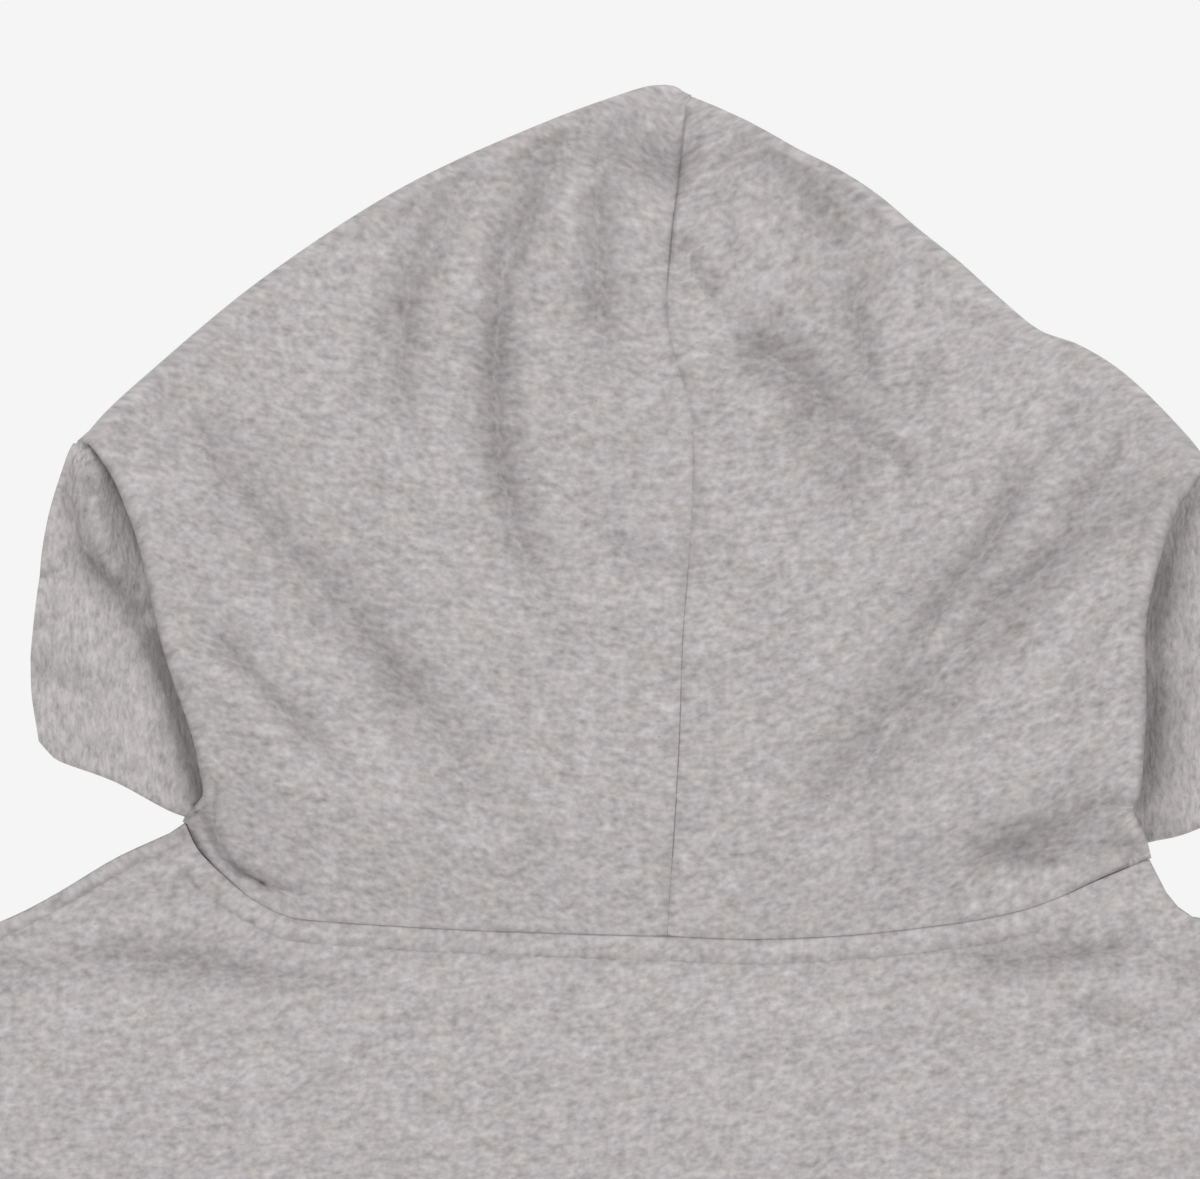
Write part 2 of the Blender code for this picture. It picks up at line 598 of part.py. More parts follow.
def add_cheek(sheet, side_column, side, cheek, heights, fold_out):
    """Turns the sheet under along the side fold, as far as the edge of the face opening."""
    upper = np.array(sheet.points)[side_column]
    lower = with_height(cheek, heights)[:, 0]
    arcs = [sheet.add_row(row) for row in turned_edge(upper, lower, fold_out)]
    rows = [sheet.add_row(row) for row in with_height(cheek, heights)]
    columns = [side_column] + arcs + [[row[0] for row in rows]]
    for low, high in zip(columns, columns[1:]):
        sheet.join(low, high, flip=side == "right")
    for low, high in zip(rows, rows[1:]):
        sheet.join(low, high, flip=side == "left")
    along = np.append(cheek[1, 0] - cheek[0, 0], 0)
    sheet.sew([arc[0] for arc in arcs], along / np.linalg.norm(along))
    sheet.sew(rows[0])


def make_hood(side, material):
    """One half of the hood: its top layer, the crown turned under and the side folded under."""
    sign = -1 if side == "left" else 1
    middle = np.array([0, HOOD_TOP_Y / 2])
    gable_out = outward_of(sampled(GABLE[side], HOOD_ACROSS), middle)
    fold_out = outward_of(sampled(SIDE_FOLD[side], HOOD_UP), middle)
    plan = hood_plan(side, gable_out, fold_out)

    edge = sampled(CHEEK_EDGE[side], HOOD_UP)
    neck = sampled(NECK_FRONT[side], CHEEK_COLUMNS)
    neck[0] = plan[0, -1]
    neck[-1] = edge[0] = (sign * HOOD_EDGE, neck[-1][1])
    cheek = cheek_plan(plan[:, -1], neck, edge)
    cheek_heights = cheek_height(side, cheek)

    radius = side_fold_radius(sampled(SIDE_FOLD[side], HOOD_UP))
    side_height = cheek_heights[:, 0] + 2 * radius
    height = hood_height(side, plan, back_height(plan[:1]), side_height)
    sheet = Sheet()
    top = sheet.add_grid(with_height(plan, height), flip=side == "left")
    under = add_crown(sheet, top[-1], side, gable_out)
    add_cheek(sheet, [row[-1] for row in top], side, cheek, cheek_heights, fold_out)
    sheet.sew(top[0])
    sheet.sew([row[0] for row in top[1:]] + [row[0] for row in under], np.array([1.0, 0, 0]))
    return sew_piece(f"hood_{side}", sheet, material)


# ---- zip ---------------------------------------------------------------------------------------
def zip_strip(name, side, near, far, thick, top_y, bottom_y, material):
    """A strip along the zip, with its rows at those of the front's edge."""
    edge_y = zip_edge(side, near)[:, 1]
    between = edge_y[(edge_y > bottom_y) & (edge_y < top_y)]
    grid = []
    for y in (bottom_y, *between, top_y):
        x = np.array([near, far]) * (-1 if side == "left" else 1)
        plan = np.column_stack([x, np.full(2, y)])
        grid.append(with_height(plan, TAPE_LAYER + zip_lift(plan)))
    sheet = Sheet()
    rows = sheet.add_grid(grid, flip=side == "left")
    for row in rows:
        sheet.sew(row)
    return sew_piece(name, sheet, material, thick)


def cell_face(cell, axis, side):
    """Corners of one face of a cell of the grid, facing out of it."""
    square = [(0, 0), (1, 0), (1, 1), (0, 1)]
    corners = []
    for a, b in square if side else reversed(square):
        corner = list(cell)
        corner[axis] += side
        corner[(axis + 1) % 3] += a
        corner[(axis + 2) % 3] += b
        corners.append(tuple(int(c) for c in corner))
    return corners


def blocks(name, boxes, material, place=(0, 0, 0)):
    """One solid of boxes (low corner, high corner), made from the cells that their faces cut out."""
    lows, highs = np.array(boxes, float).transpose(1, 0, 2)
    cuts = [np.unique(np.round(np.concatenate([lows[:, k], highs[:, k]]), 7)) for k in range(3)]
    middles = np.stack(np.meshgrid(*[(c[1:] + c[:-1]) / 2 for c in cuts], indexing="ij"), axis=-1)
    inside = ((middles[..., None, :] > lows) & (middles[..., None, :] < highs)).all(-1).any(-1)
    filled = np.pad(inside, 1)
    faces = []
    for cell in np.argwhere(filled):
        for axis in range(3):
            for side in (0, 1):
                beside = cell.copy()
                beside[axis] += 2 * side - 1
                if not filled[tuple(beside)]:
                    faces.append(cell_face(cell - 1, axis, side))
    corners = sorted({corner for face in faces for corner in face})
    number = {corner: i for i, corner in enumerate(corners)}
    points = [[cuts[k][corner[k]] for k in range(3)] for corner in corners]
    faces = [[number[corner] for corner in face] for face in faces]
    made = mesh_object(name, points, faces, material, place, smooth=False)
    flat = made.modifiers.new("join flat faces", "DECIMATE")
    flat.decimate_type = "DISSOLVE"
    flat.angle_limit = math.radians(1)
    return made


def slider_level():
    """Height of the middle of the teeth at the slider."""
    return TAPE_LAYER + float(zip_lift(np.array([0.0, SLIDER_Y])))


def make_slider(material):
    """Two plates round the teeth, joined by the wedge, with lips at the sides and the pull's loop."""
    level = slider_level()
    low, high = SLIDER_Y - SLIDER_LENGTH / 2, SLIDER_Y + SLIDER_LENGTH / 2
    inner = TEETH_THICK / 2 + SEAM_GAP
    outer = inner + SLIDER_PLATE
    boxes = []
    for under, over in ((level - outer, level - inner), (level + inner, level + outer)):
        boxes.append(((-SLIDER_HALF, low, under), (SLIDER_HALF, high, over)))
    wedge = high - WEDGE_LENGTH
    boxes.append(((-WEDGE_HALF, wedge, level - outer), (WEDGE_HALF, high, level + outer)))
    for side in (-SLIDER_HALF, SLIDER_HALF - LIP_WIDTH):
        for foot in (level - inner, level + inner - LIP_HEIGHT):
            boxes.append(((side, low, foot), (side + LIP_WIDTH, high, foot + LIP_HEIGHT)))
    start, end = SLIDER_Y - LOOP_HALF_Y, SLIDER_Y + LOOP_HALF_Y
    for post in (start, end - LOOP_POST):
        foot, head = (-LOOP_HALF_X, post, LOOP_BOTTOM), (LOOP_HALF_X, post + LOOP_POST, level - outer)
        boxes.append((foot, head))
    boxes.append(((-LOOP_HALF_X, start, LOOP_BOTTOM), (LOOP_HALF_X, end, LOOP_BOTTOM + LOOP_BAR)))
    return blocks("zip_slider", boxes, material)


def make_pull(material):
    """The pull tab, with its origin on the bar that turns in the slider's loop, its tip on the surface."""
    end, neck = -TAB_LENGTH, -(TAB_BAR + TAB_WINDOW)
    half = TAB_THICK / 2
    boxes = [
        ((-TAB_EYE_HALF, -TAB_BAR, -half), (TAB_EYE_HALF, TAB_BAR, half)),
        ((-TAB_EYE_HALF, neck, -half), (-TAB_WINDOW_HALF, TAB_BAR, half)),
        ((TAB_WINDOW_HALF, neck, -half), (TAB_EYE_HALF, TAB_BAR, half)),
        ((-TAB_HALF, end, -half), (TAB_HALF, neck, half)),
    ]
    pull = blocks("pull_tab", boxes, material, (0, SLIDER_Y, AXIS_Z))
    pull.rotation_euler.x = math.asin((AXIS_Z - half) / TAB_LENGTH)
    return pull


def make_zip(tape, metal):
    """Two tapes, two rows of teeth as bars, the retainer at the bottom, the slider and its pull."""
    teeth_top = SLIDER_Y + SLIDER_LENGTH / 2 - WEDGE_LENGTH - SEAM_GAP
    box_top = ZIP_BOTTOM_Y + BOX_LENGTH
    for side in ("left", "right"):
        near = TEETH_HALF + SEAM_GAP
        zip_strip(f"zip_tape_{side}", side, near, TAPE_OUTER, TAPE_THICK, ZIP_TOP_Y, ZIP_BOTTOM_Y, tape)
        teeth = (SEAM_GAP / 2, TEETH_HALF, TEETH_THICK, teeth_top, box_top + SEAM_GAP)
        zip_strip(f"zip_teeth_{side}", side, *teeth, metal)
    foot, head = TAPE_LAYER - BOX_HEIGHT / 2, TAPE_LAYER + BOX_HEIGHT / 2
    blocks("zip_box", [((-TEETH_HALF, ZIP_BOTTOM_Y, foot), (TEETH_HALF, box_top, head))], metal)
    make_slider(metal)
    make_pull(metal)


# ---- materials and the whole garment -------------------------------------------------------------
def material(name, colour, roughness, metallic=0.0):
    made = bpy.data.materials.new(name)
    made.use_nodes = True
    shader = made.node_tree.nodes["Principled BSDF"]
    shader.inputs["Base Color"].default_value = (*colour, 1)
    shader.inputs["Roughness"].default_value = roughness
    shader.inputs["Metallic"].default_value = metallic
    return made


def clear_scene():
    for old in list(bpy.data.objects):
        bpy.data.objects.remove(old, do_unlink=True)


def main():
    clear_scene()
    fleece = material("heather_fleece", (0.46, 0.44, 0.44), 0.95)
    rib = material("heather_rib", (0.44, 0.42, 0.42), 0.95)
    tape = material("zip_tape", (0.30, 0.29, 0.29), 0.85)
    metal = material("zip_metal", (0.62, 0.62, 0.62), 0.35, 1.0)
    make_back(fleece)
    for side in ("left", "right"):
        make_front(side, fleece)
        make_sleeve(side, fleece)
        make_cuff(side, rib)
        make_hood(side, fleece)
    make_band(rib)
    make_zip(tape, metal)


main()
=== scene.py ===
# %% [markdown]
# # A zip-up hoodie, laid flat on its front
# The garment is cut from heather grey sweatshirt fleece: a knit with a smooth face outside and a
# brushed, hairy face inside. It lies on its front, so the back and the hood face up. The packed
# solids give every piece its place. This file makes the look: soft thin shells of cloth with their
# folds and seams, the yarn and nap of the fleece, the rib, the zip, the light and the camera.

import math

import bpy
import numpy as np
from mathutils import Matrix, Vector


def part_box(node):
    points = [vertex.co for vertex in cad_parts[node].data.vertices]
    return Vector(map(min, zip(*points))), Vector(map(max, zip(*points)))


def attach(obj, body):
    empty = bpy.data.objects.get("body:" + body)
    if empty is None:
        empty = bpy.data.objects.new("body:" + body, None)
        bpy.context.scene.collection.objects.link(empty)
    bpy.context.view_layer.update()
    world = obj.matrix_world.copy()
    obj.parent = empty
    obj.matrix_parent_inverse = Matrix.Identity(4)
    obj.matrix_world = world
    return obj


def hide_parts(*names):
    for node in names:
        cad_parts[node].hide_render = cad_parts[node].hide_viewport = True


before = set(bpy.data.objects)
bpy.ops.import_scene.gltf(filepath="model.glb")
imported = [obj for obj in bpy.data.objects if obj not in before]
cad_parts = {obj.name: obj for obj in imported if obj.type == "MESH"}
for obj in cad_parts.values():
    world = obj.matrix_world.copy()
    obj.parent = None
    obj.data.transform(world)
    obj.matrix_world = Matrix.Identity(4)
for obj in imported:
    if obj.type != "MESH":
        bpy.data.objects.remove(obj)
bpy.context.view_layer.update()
MM = 0.001
SIDES = {"left": -1, "right": 1}  # the sign of x on each side of the garment
HOOD_TOP = 213 * MM  # above the nape, the middle of the back neck seam
NAPE_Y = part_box("hood_left")[1].y - HOOD_TOP
print("nape at y =", round(NAPE_Y, 4))

# %% [markdown]
# ## Lines and surfaces of cloth
# A pattern cutter draws an edge as a few points and a smooth curve through them. Catmull-Rom does
# the same here. A surface between four such edges is a Coons patch: it blends the two pairs of
# edges, so that its rows run like the courses of a knit between the seams.


# %% Smooth lines through a few points
def smooth_line(rows):
    """Dense points, in metres from the nape, of a smooth curve through rows in millimetres."""
    points = np.array(rows, float) * MM
    ends = np.vstack([2 * points[0] - points[1], points, 2 * points[-1] - points[-2]])
    t = np.linspace(0, 1, 12, endpoint=False)[:, None]
    dense = []
    for a, b, c, d in zip(ends, ends[1:], ends[2:], ends[3:]):
        squared = (2 * a - 5 * b + 4 * c - d) * t**2
        cubed = (3 * b - a - 3 * c + d) * t**3
        dense.append((2 * b + (c - a) * t + squared + cubed) / 2)
    return np.vstack(dense + [points[-1:]])


def lengths(line):
    """Distance along a line to each of its points."""
    return np.concatenate([[0], np.cumsum(np.linalg.norm(np.diff(line, axis=0), axis=1))])


def at_shares(line, shares):
    """Points at the given shares, 0 to 1, of a line's length."""
    along = lengths(line)
    return np.column_stack([np.interp(np.asarray(shares) * along[-1], along, line[:, k]) for k in (0, 1)])


def sampled(rows, shares):
    return at_shares(smooth_line(rows), shares)


def mirrored(points):
    return np.asarray(points) * (-1, 1)


bend = smooth_line([(0, 0), (5, 1), (9, 4), (12, 9), (12, 15)])
print("a quarter bend of five rows becomes", len(bend), "points")


# %% Rows that lie closer together beside a seam
BESIDE_SEAM = [0.35, 0.9, 1.6, 2.4, 3.4]  # mm from the edge


def even_shares(steps):
    return np.linspace(0, 1, steps + 1)


def seam_shares(length, step, end=False):
    """Shares of a length at an even step, with closer ones beside the seam at its start, or at both ends."""
    low = np.array([0, *BESIDE_SEAM]) * MM / length
    high = 1 - low[::-1] if end else np.array([1.0])
    count = max(2, round((high[0] - low[-1]) * length / step))
    return np.concatenate([low, np.linspace(low[-1], high[0], count + 1)[1:-1], high])


def patch(bottom, top, left, right, across, up):
    """A Coons patch, as grid[row][column]: across and up are the shares of its columns and rows."""
    u, v = np.asarray(across)[None, :, None], np.asarray(up)[:, None, None]
    ruled = (1 - v) * bottom[None] + v * top[None] + (1 - u) * left[:, None] + u * right[:, None]
    corners = (1 - v) * ((1 - u) * bottom[0] + u * bottom[-1]) + v * ((1 - u) * top[0] + u * top[-1])
    return ruled - corners


def ramp(x):
    """0 to 1 with soft ends."""
    x = np.clip(x, 0, 1)
    return x * x * (3 - 2 * x)


def beside(line, points):
    """Signed distance from a line (left of its direction is positive) and distance along it."""
    flat = np.asarray(points).reshape(-1, 2)
    start, step = line[:-1], np.diff(line, axis=0)
    size = (step**2).sum(1)
    best = np.full(len(flat), np.inf)
    sign, along = np.ones(len(flat)), np.zeros(len(flat))
    reached = lengths(line)
    for k in range(len(step)):
        away = flat - start[k]
        t = np.clip(away @ step[k] / size[k], 0, 1)
        off = away - t[:, None] * step[k]
        distance = np.linalg.norm(off, axis=1)
        nearer = distance < best
        side = np.sign(step[k][0] * away[:, 1] - step[k][1] * away[:, 0])
        best = np.where(nearer, distance, best)
        sign = np.where(nearer, side, sign)
        along = np.where(nearer, reached[k] + t * math.sqrt(size[k]), along)
    shape = np.asarray(points).shape[:-1]
    return (best * sign).reshape(shape), along.reshape(shape)


def distance_to(line, points):
    return np.abs(beside(line, points)[0])


print("shares beside a seam on a 100 mm edge:", seam_shares(0.1, 0.01)[:7].round(4))

# %% [markdown]
# ## A piece of cloth
# Each cut piece is made as the sheet through the middle of its wall. Thickness comes last: every
# point moves half a wall outwards and half a wall inwards along its normal. Along a seam the wall
# stays square to the neighbour, so two sewn pieces meet in a narrow dark line. A free edge gets a
# round lip. Each point also carries where it lies on the cut cloth ("grain": along the courses and
# along the wales) and where the nearest row of stitching is, for the materials.


# %% The sheet and its wall
WALL = 2.0 * MM
SEAM_GAP = 0.05 * MM
LIP = 0.7 * MM
NO_STITCHING = 20 * MM  # off any row of stitching


class Cloth:
    """The middle surface of one piece, in quads that face its outer side."""

    def __init__(self):
        self.rows, self.grains, self.quads = [], [], []
        self.count = 0
        self.seams = {}

    def add_row(self, points, grain=None):
        points = np.asarray(points, float)
        self.rows.append(points)
        self.grains.append(points[:, :2] if grain is None else np.asarray(grain, float))
        first, self.count = self.count, self.count + len(points)
        return np.arange(first, self.count)

    def join(self, low, high, flip=False):
        a, b, c, d = low[:-1], low[1:], high[1:], high[:-1]
        self.quads.append(np.column_stack([d, c, b, a] if flip else [a, b, c, d]))

    def add_grid(self, grid, grain=None, flip=False):
        grain = [None] * len(grid) if grain is None else grain
        rows = [self.add_row(row, g) for row, g in zip(grid, grain)]
        for low, high in zip(rows, rows[1:]):
            self.join(low, high, flip)
        return rows

    def sew(self, row, across=None):
        """Keeps the wall upright along an edge, or square to a direction."""
        if across is None or np.ndim(across) == 1:
            across = [across] * len(row)
        self.seams.update(zip([int(p) for p in row], across))

    def sew_round(self, rows):
        """Keeps the wall upright along all four edges of a grid."""
        for edge in (rows[0], rows[-1], [row[0] for row in rows], [row[-1] for row in rows]):
            self.sew(edge)

    def points(self):
        return np.vstack(self.rows)

    def faces(self):
        return np.vstack(self.quads)

    def normals(self, points, quads):
        a, b, c, d = points[quads].transpose(1, 0, 2)
        cross = np.cross(c - a, d - b)
        found = np.zeros_like(points)
        for corner in range(4):
            np.add.at(found, quads[:, corner], cross)
        for point, across in self.seams.items():
            if across is None:
                found[point, :2] = 0
            else:
                found[point] -= across * found[point].dot(across)
        return found / np.linalg.norm(found, axis=1)[:, None]

    def rim(self, quads):
        """The open edges, each in the direction of its quad."""
        start, end = quads.ravel(), np.roll(quads, -1, axis=1).ravel()
        key, twin = start * self.count + end, end * self.count + start
        open_edge = ~np.isin(key, twin)
        return start[open_edge], end[open_edge]


# %% From sheet to mesh object
def write_attribute(mesh, name, values):
    """A vector for each point, read by the materials."""
    rows = np.zeros((len(values), 3), np.float32)
    rows[:, : values.shape[1]] = values
    mesh.attributes.new(name, "FLOAT_VECTOR", "POINT").data.foreach_set("vector", rows.ravel())


def mesh_piece(name, points, faces, materials, slots=None, smooth=True):
    """A mesh object with its points given in metres from the nape."""
    mesh = bpy.data.meshes.new(name)
    mesh.from_pydata((np.asarray(points) + (0, NAPE_Y, 0)).tolist(), [], faces)
    for material in materials:
        mesh.materials.append(material)
    if slots is not None:
        mesh.polygons.foreach_set("material_index", np.asarray(slots, np.int32))
    mesh.polygons.foreach_set("use_smooth", np.full(len(mesh.polygons), smooth))
    mesh.update()
    made = bpy.data.objects.new(name, mesh)
    bpy.context.scene.collection.objects.link(made)
    return made


def thicken(name, cloth, outer, inner, relief=None, stitches=None, painted_shade=None, wall=WALL):
    """Gives a sheet its wall and makes it an object: outer face, inner face and rim."""
    points, quads = cloth.points(), cloth.faces()
    normal = cloth.normals(points, quads)
    count = len(points)
    raised = np.zeros(count) if relief is None else relief
    start, end = cloth.rim(quads)
    out = np.cross(points[end] - points[start], normal[start])
    lip = np.zeros_like(points)
    np.add.at(lip, start, out)
    np.add.at(lip, end, out)
    on_rim = np.unique(np.concatenate([start, end]))
    lip[on_rim] /= np.linalg.norm(lip[on_rim], axis=1)[:, None]
    lip[list(cloth.seams)] = 0
    ring = np.full(count, -1)
    ring[on_rim] = 2 * count + np.arange(len(on_rim))
    middle = points[on_rim] + lip[on_rim] * LIP
    upper, lower = points + normal * (wall / 2 + raised)[:, None], points - normal * wall / 2
    faces = np.vstack(
        [
            quads,
            count + quads[:, ::-1],
            np.column_stack([end, start, ring[start], ring[end]]),
            np.column_stack([ring[end], ring[start], count + start, count + end]),
        ]
    )
    slots = np.repeat([0, 1, 0, 1], [len(quads), len(quads), len(start), len(start)])
    made = mesh_piece(name, np.vstack([upper, lower, middle]), faces.tolist(), [outer, inner], slots)
    grain = np.vstack(cloth.grains)
    write_attribute(made.data, "grain", np.vstack([grain, grain, grain[on_rim]]))
    if stitches is None:
        stitches = np.full((count, 2), NO_STITCHING)
    hidden = np.full((count, 2), NO_STITCHING)
    write_attribute(made.data, "stitches", np.vstack([stitches, hidden, stitches[on_rim]]))
    # painted shade for each point, the same on both faces and on the rim
    if painted_shade is not None:
        both_faces = np.concatenate([painted_shade, painted_shade, painted_shade[on_rim]])
        write_attribute(made.data, "painted_shade", both_faces[:, None])
    a, b, c, d = points[quads].transpose(1, 0, 2)
    area = np.linalg.norm(np.cross(c - a, d - b), axis=1).sum() / 2
    made["cloth_area"] = float(area)
    print(f"{name}: {len(faces)} faces, cloth {area * 1e4:.0f} cm2")
    return made


# %% [markdown]
# ## Folds
# A fold in laid cloth is a valley with soft shoulders and a tight bottom. Seen from above under an
# overhead light, its flanks turn away and darken, so each valley is given by the slope of its
# flanks and by its half-width. Both die out at the ends of its route, and both waver on the way.
# Each row of a table gives one fold, so that no two are alike. The smaller waves, which nobody
# would draw by hand, come from smooth seeded noise.


# %% Valleys and soft waves
BOTTOM_RADIUS = 1.3 * MM
FOLD_STRENGTH = 1.95


def waves(plan, size, height, seed):
    """Smooth seeded noise over the plan: waves of about this size and height."""
    rng = np.random.default_rng(seed)
    grid = rng.normal(0, 1, (64, 64))
    x, y = plan[..., 0] / size + 31.3, plan[..., 1] / size + 32.7
    i, j = np.floor(x).astype(int), np.floor(y).astype(int)
    u, v = ramp(x - i), ramp(y - j)
    i, j, i1, j1 = i % 64, j % 64, (i + 1) % 64, (j + 1) % 64
    low = (1 - u) * grid[j, i] + u * grid[j, i1]
    high = (1 - u) * grid[j1, i] + u * grid[j1, i1]
    return height * ((1 - v) * low + v * high)


def from_route(plan, route, start=0.22, end=0.22):
    """Distance off a fold's route and along it, and how the fold fades towards both ends."""
    line = smooth_line(route)
    off, along = beside(line, plan)
    share = along / lengths(line)[-1]
    place = np.stack([along, np.full_like(along, route[0][0] * MM)], axis=-1)
    off = off + waves(place, 8 * MM, 0.35 * MM, 12)
    return off, place, np.minimum(ramp(share / start), ramp((1 - share) / end))


def one_fold(plan, slope, half_width, *route_and_fades):
    """Depth of one valley: slope is that of its flanks, half_width in mm."""
    off, place, fade = from_route(plan, *route_and_fades)
    reach = 1.3 * half_width * MM * (1 + waves(place, 14 * MM, 0.16, 11))
    across = np.sqrt(off**2 + BOTTOM_RADIUS**2) - BOTTOM_RADIUS
    return FOLD_STRENGTH * slope * reach * (1 - np.tanh(across / reach)) * fade


def folds(table, plan):
    depth = np.zeros(plan.shape[:-1])
    for row in table:
        depth += one_fold(plan, *row)
    return depth


def painted_shade_along(table, plan, share=0.65):
    """How much shade is painted along the bottoms of the folds, or along the routes of a shade table."""
    found = np.zeros(plan.shape[:-1])
    for slope, half_width, *route_and_fades in table:
        off, place, fade = from_route(plan, *route_and_fades)
        found += slope * np.exp(-((off / (share * half_width * MM)) ** 2)) * fade
    return found


def soft_waves(plan):
    return waves(plan, 17 * MM, 0.22 * MM, 3) + waves(plan, 7 * MM, 0.09 * MM, 5)


def sunk(ground, depth, lowest):
    """Lowers the ground by a depth, as far as what lies beneath leaves room."""
    room = np.maximum(ground - lowest, 0.02 * MM)
    return ground - depth / (1 + (np.maximum(depth, 0) / room) ** 6) ** (1 / 6) * ramp(room / MM)


# %% [markdown]
# ## Fleece, rib and thread
# The outer face is a fine knit of melange yarn: pale and dark fibres are spun together, so short
# streaks run along the courses. The inner face is brushed until its loops stand up as a nap. Both
# are noise, stretched along the grain of the cut cloth that each point carries, so that the streaks
# turn with the fabric where the pattern turns. Shade is painted into both faces where light falls
# short: in the bottom of a fold, along a seam and its stitching, and in the shelter of the hood's
# side. Each point carries how much painted shade it gets, and both faces darken by a share of that.


# %% A small helper for shader nodes
class Shader:
    """A material whose nodes are added with short calls."""

    def __init__(self, name, roughness, **sockets):
        self.material = bpy.data.materials.new(name)
        self.material.use_nodes = True
        self.tree = self.material.node_tree
        self.surface = self.tree.nodes["Principled BSDF"]
        self.surface.inputs["Roughness"].default_value = roughness
        for socket, value in sockets.items():
            self.surface.inputs[socket.replace("_", " ")].default_value = value

    def set(self, socket, value):
        if isinstance(value, bpy.types.NodeSocket):
            self.tree.links.new(value, socket)
        else:
            socket.default_value = value

    def attribute(self, name):
        node = self.tree.nodes.new("ShaderNodeAttribute")
        node.attribute_name = name
        return node.outputs["Vector"]

    def math(self, operation, a, b=0.0, c=0.0):
        node = self.tree.nodes.new("ShaderNodeMath")
        node.operation = operation
        for socket, value in zip(node.inputs, (a, b, c)):
            self.set(socket, value)
        return node.outputs[0]

    def part(self, vector, axis):
        node = self.tree.nodes.new("ShaderNodeSeparateXYZ")
        self.set(node.inputs[0], vector)
        return node.outputs[axis]

    def stretched(self, vector, along, across, deep=1.0):
        """The vector in units of a streak's length and width, in metres."""
        node = self.tree.nodes.new("ShaderNodeVectorMath")
        node.operation = "MULTIPLY"
        self.set(node.inputs[0], vector)
        node.inputs[1].default_value = (1 / along, 1 / across, 1 / deep)
        return node.outputs[0]

    def noise(self, vector, detail=2.0, rough=0.5, distortion=0.0, shift=0.0):
        node = self.tree.nodes.new("ShaderNodeTexNoise")
        node.noise_dimensions = "4D"
        self.set(node.inputs["Vector"], vector)
        node.inputs["W"].default_value = shift
        node.inputs["Scale"].default_value = 1.0
        node.inputs["Detail"].default_value = detail
        node.inputs["Roughness"].default_value = rough
        node.inputs["Distortion"].default_value = distortion
        return node.outputs["Fac"]

    def mixed(self, parts):
        """A weighted sum of values."""
        total = 0.0
        for value, weight in parts:
            total = self.math("MULTIPLY_ADD", value, weight, total)
        return total

    def spread(self, value, low, high, to_low=0.0, to_high=1.0, soft=False):
        node = self.tree.nodes.new("ShaderNodeMapRange")
        node.interpolation_type = "SMOOTHSTEP" if soft else "LINEAR"
        self.set(node.inputs["Value"], value)
        for socket, number in zip(("From Min", "From Max", "To Min", "To Max"), (low, high, to_low, to_high)):
            node.inputs[socket].default_value = number
        return node.outputs["Result"]

    def colours(self, share, stops):
        node = self.tree.nodes.new("ShaderNodeValToRGB")
        ramp_of = node.color_ramp
        while len(ramp_of.elements) < len(stops):
            ramp_of.elements.new(0.5)
        for element, (place, colour) in zip(ramp_of.elements, stops):
            element.position = place
            element.color = (*colour, 1)
        self.set(node.inputs[0], share)
        return node.outputs["Color"]

    def blend(self, share, a, b, kind="MIX"):
        node = self.tree.nodes.new("ShaderNodeMix")
        node.data_type = "RGBA"
        node.blend_type = kind
        self.set(node.inputs["Factor"], share)
        colours = [s for s in node.inputs if s.type == "RGBA"]
        for socket, value in zip(colours, (a, b)):
            self.set(socket, value)
        return [s for s in node.outputs if s.type == "RGBA"][0]

    def bump(self, height, distance, strength=1.0, under=None):
        node = self.tree.nodes.new("ShaderNodeBump")
        node.inputs["Distance"].default_value = distance
        node.inputs["Strength"].default_value = strength
        self.set(node.inputs["Height"], height)
        if under is not None:
            self.set(node.inputs["Normal"], under)
        return node.outputs[0]

    def finish(self, colour, normal):
        self.set(self.surface.inputs["Base Color"], colour)
        self.set(self.surface.inputs["Normal"], normal)
        return self.material


# %% The outer face: heather knit with rows of stitching
STITCH = 2.3 * MM


def grey(level, warm=0.0, blue=0.3):
    """A grey that leans a little to rose, as a share of its level."""
    return (level * (1 + warm), level, level * (1 + blue * warm))


# painted shade: both faces blend towards this dark grey by this share of each point's painted shade
PAINTED_SHADE_SHARE, PAINTED_SHADE_COLOUR = 0.15, (0.05, 0.045, 0.045, 1)
# stitch marks: the groove darkens towards the first, partly thread colour and partly painted shade; the
# needle holes towards the second, painted shade
THREAD_AND_GROOVE_SHADE, HOLE_SHADE_COLOUR = (0.08, 0.075, 0.075, 1), (0.06, 0.055, 0.055, 1)


# The colour darkened by the point's painted shade, shade painted in folds, along seams and stitching and
# beside the hood's side fold
def with_painted_shade(shader, colour):
    painted_shade = shader.part(shader.attribute("painted_shade"), 0)
    return shader.blend(shader.math("MULTIPLY", painted_shade, PAINTED_SHADE_SHARE), colour, PAINTED_SHADE_COLOUR)


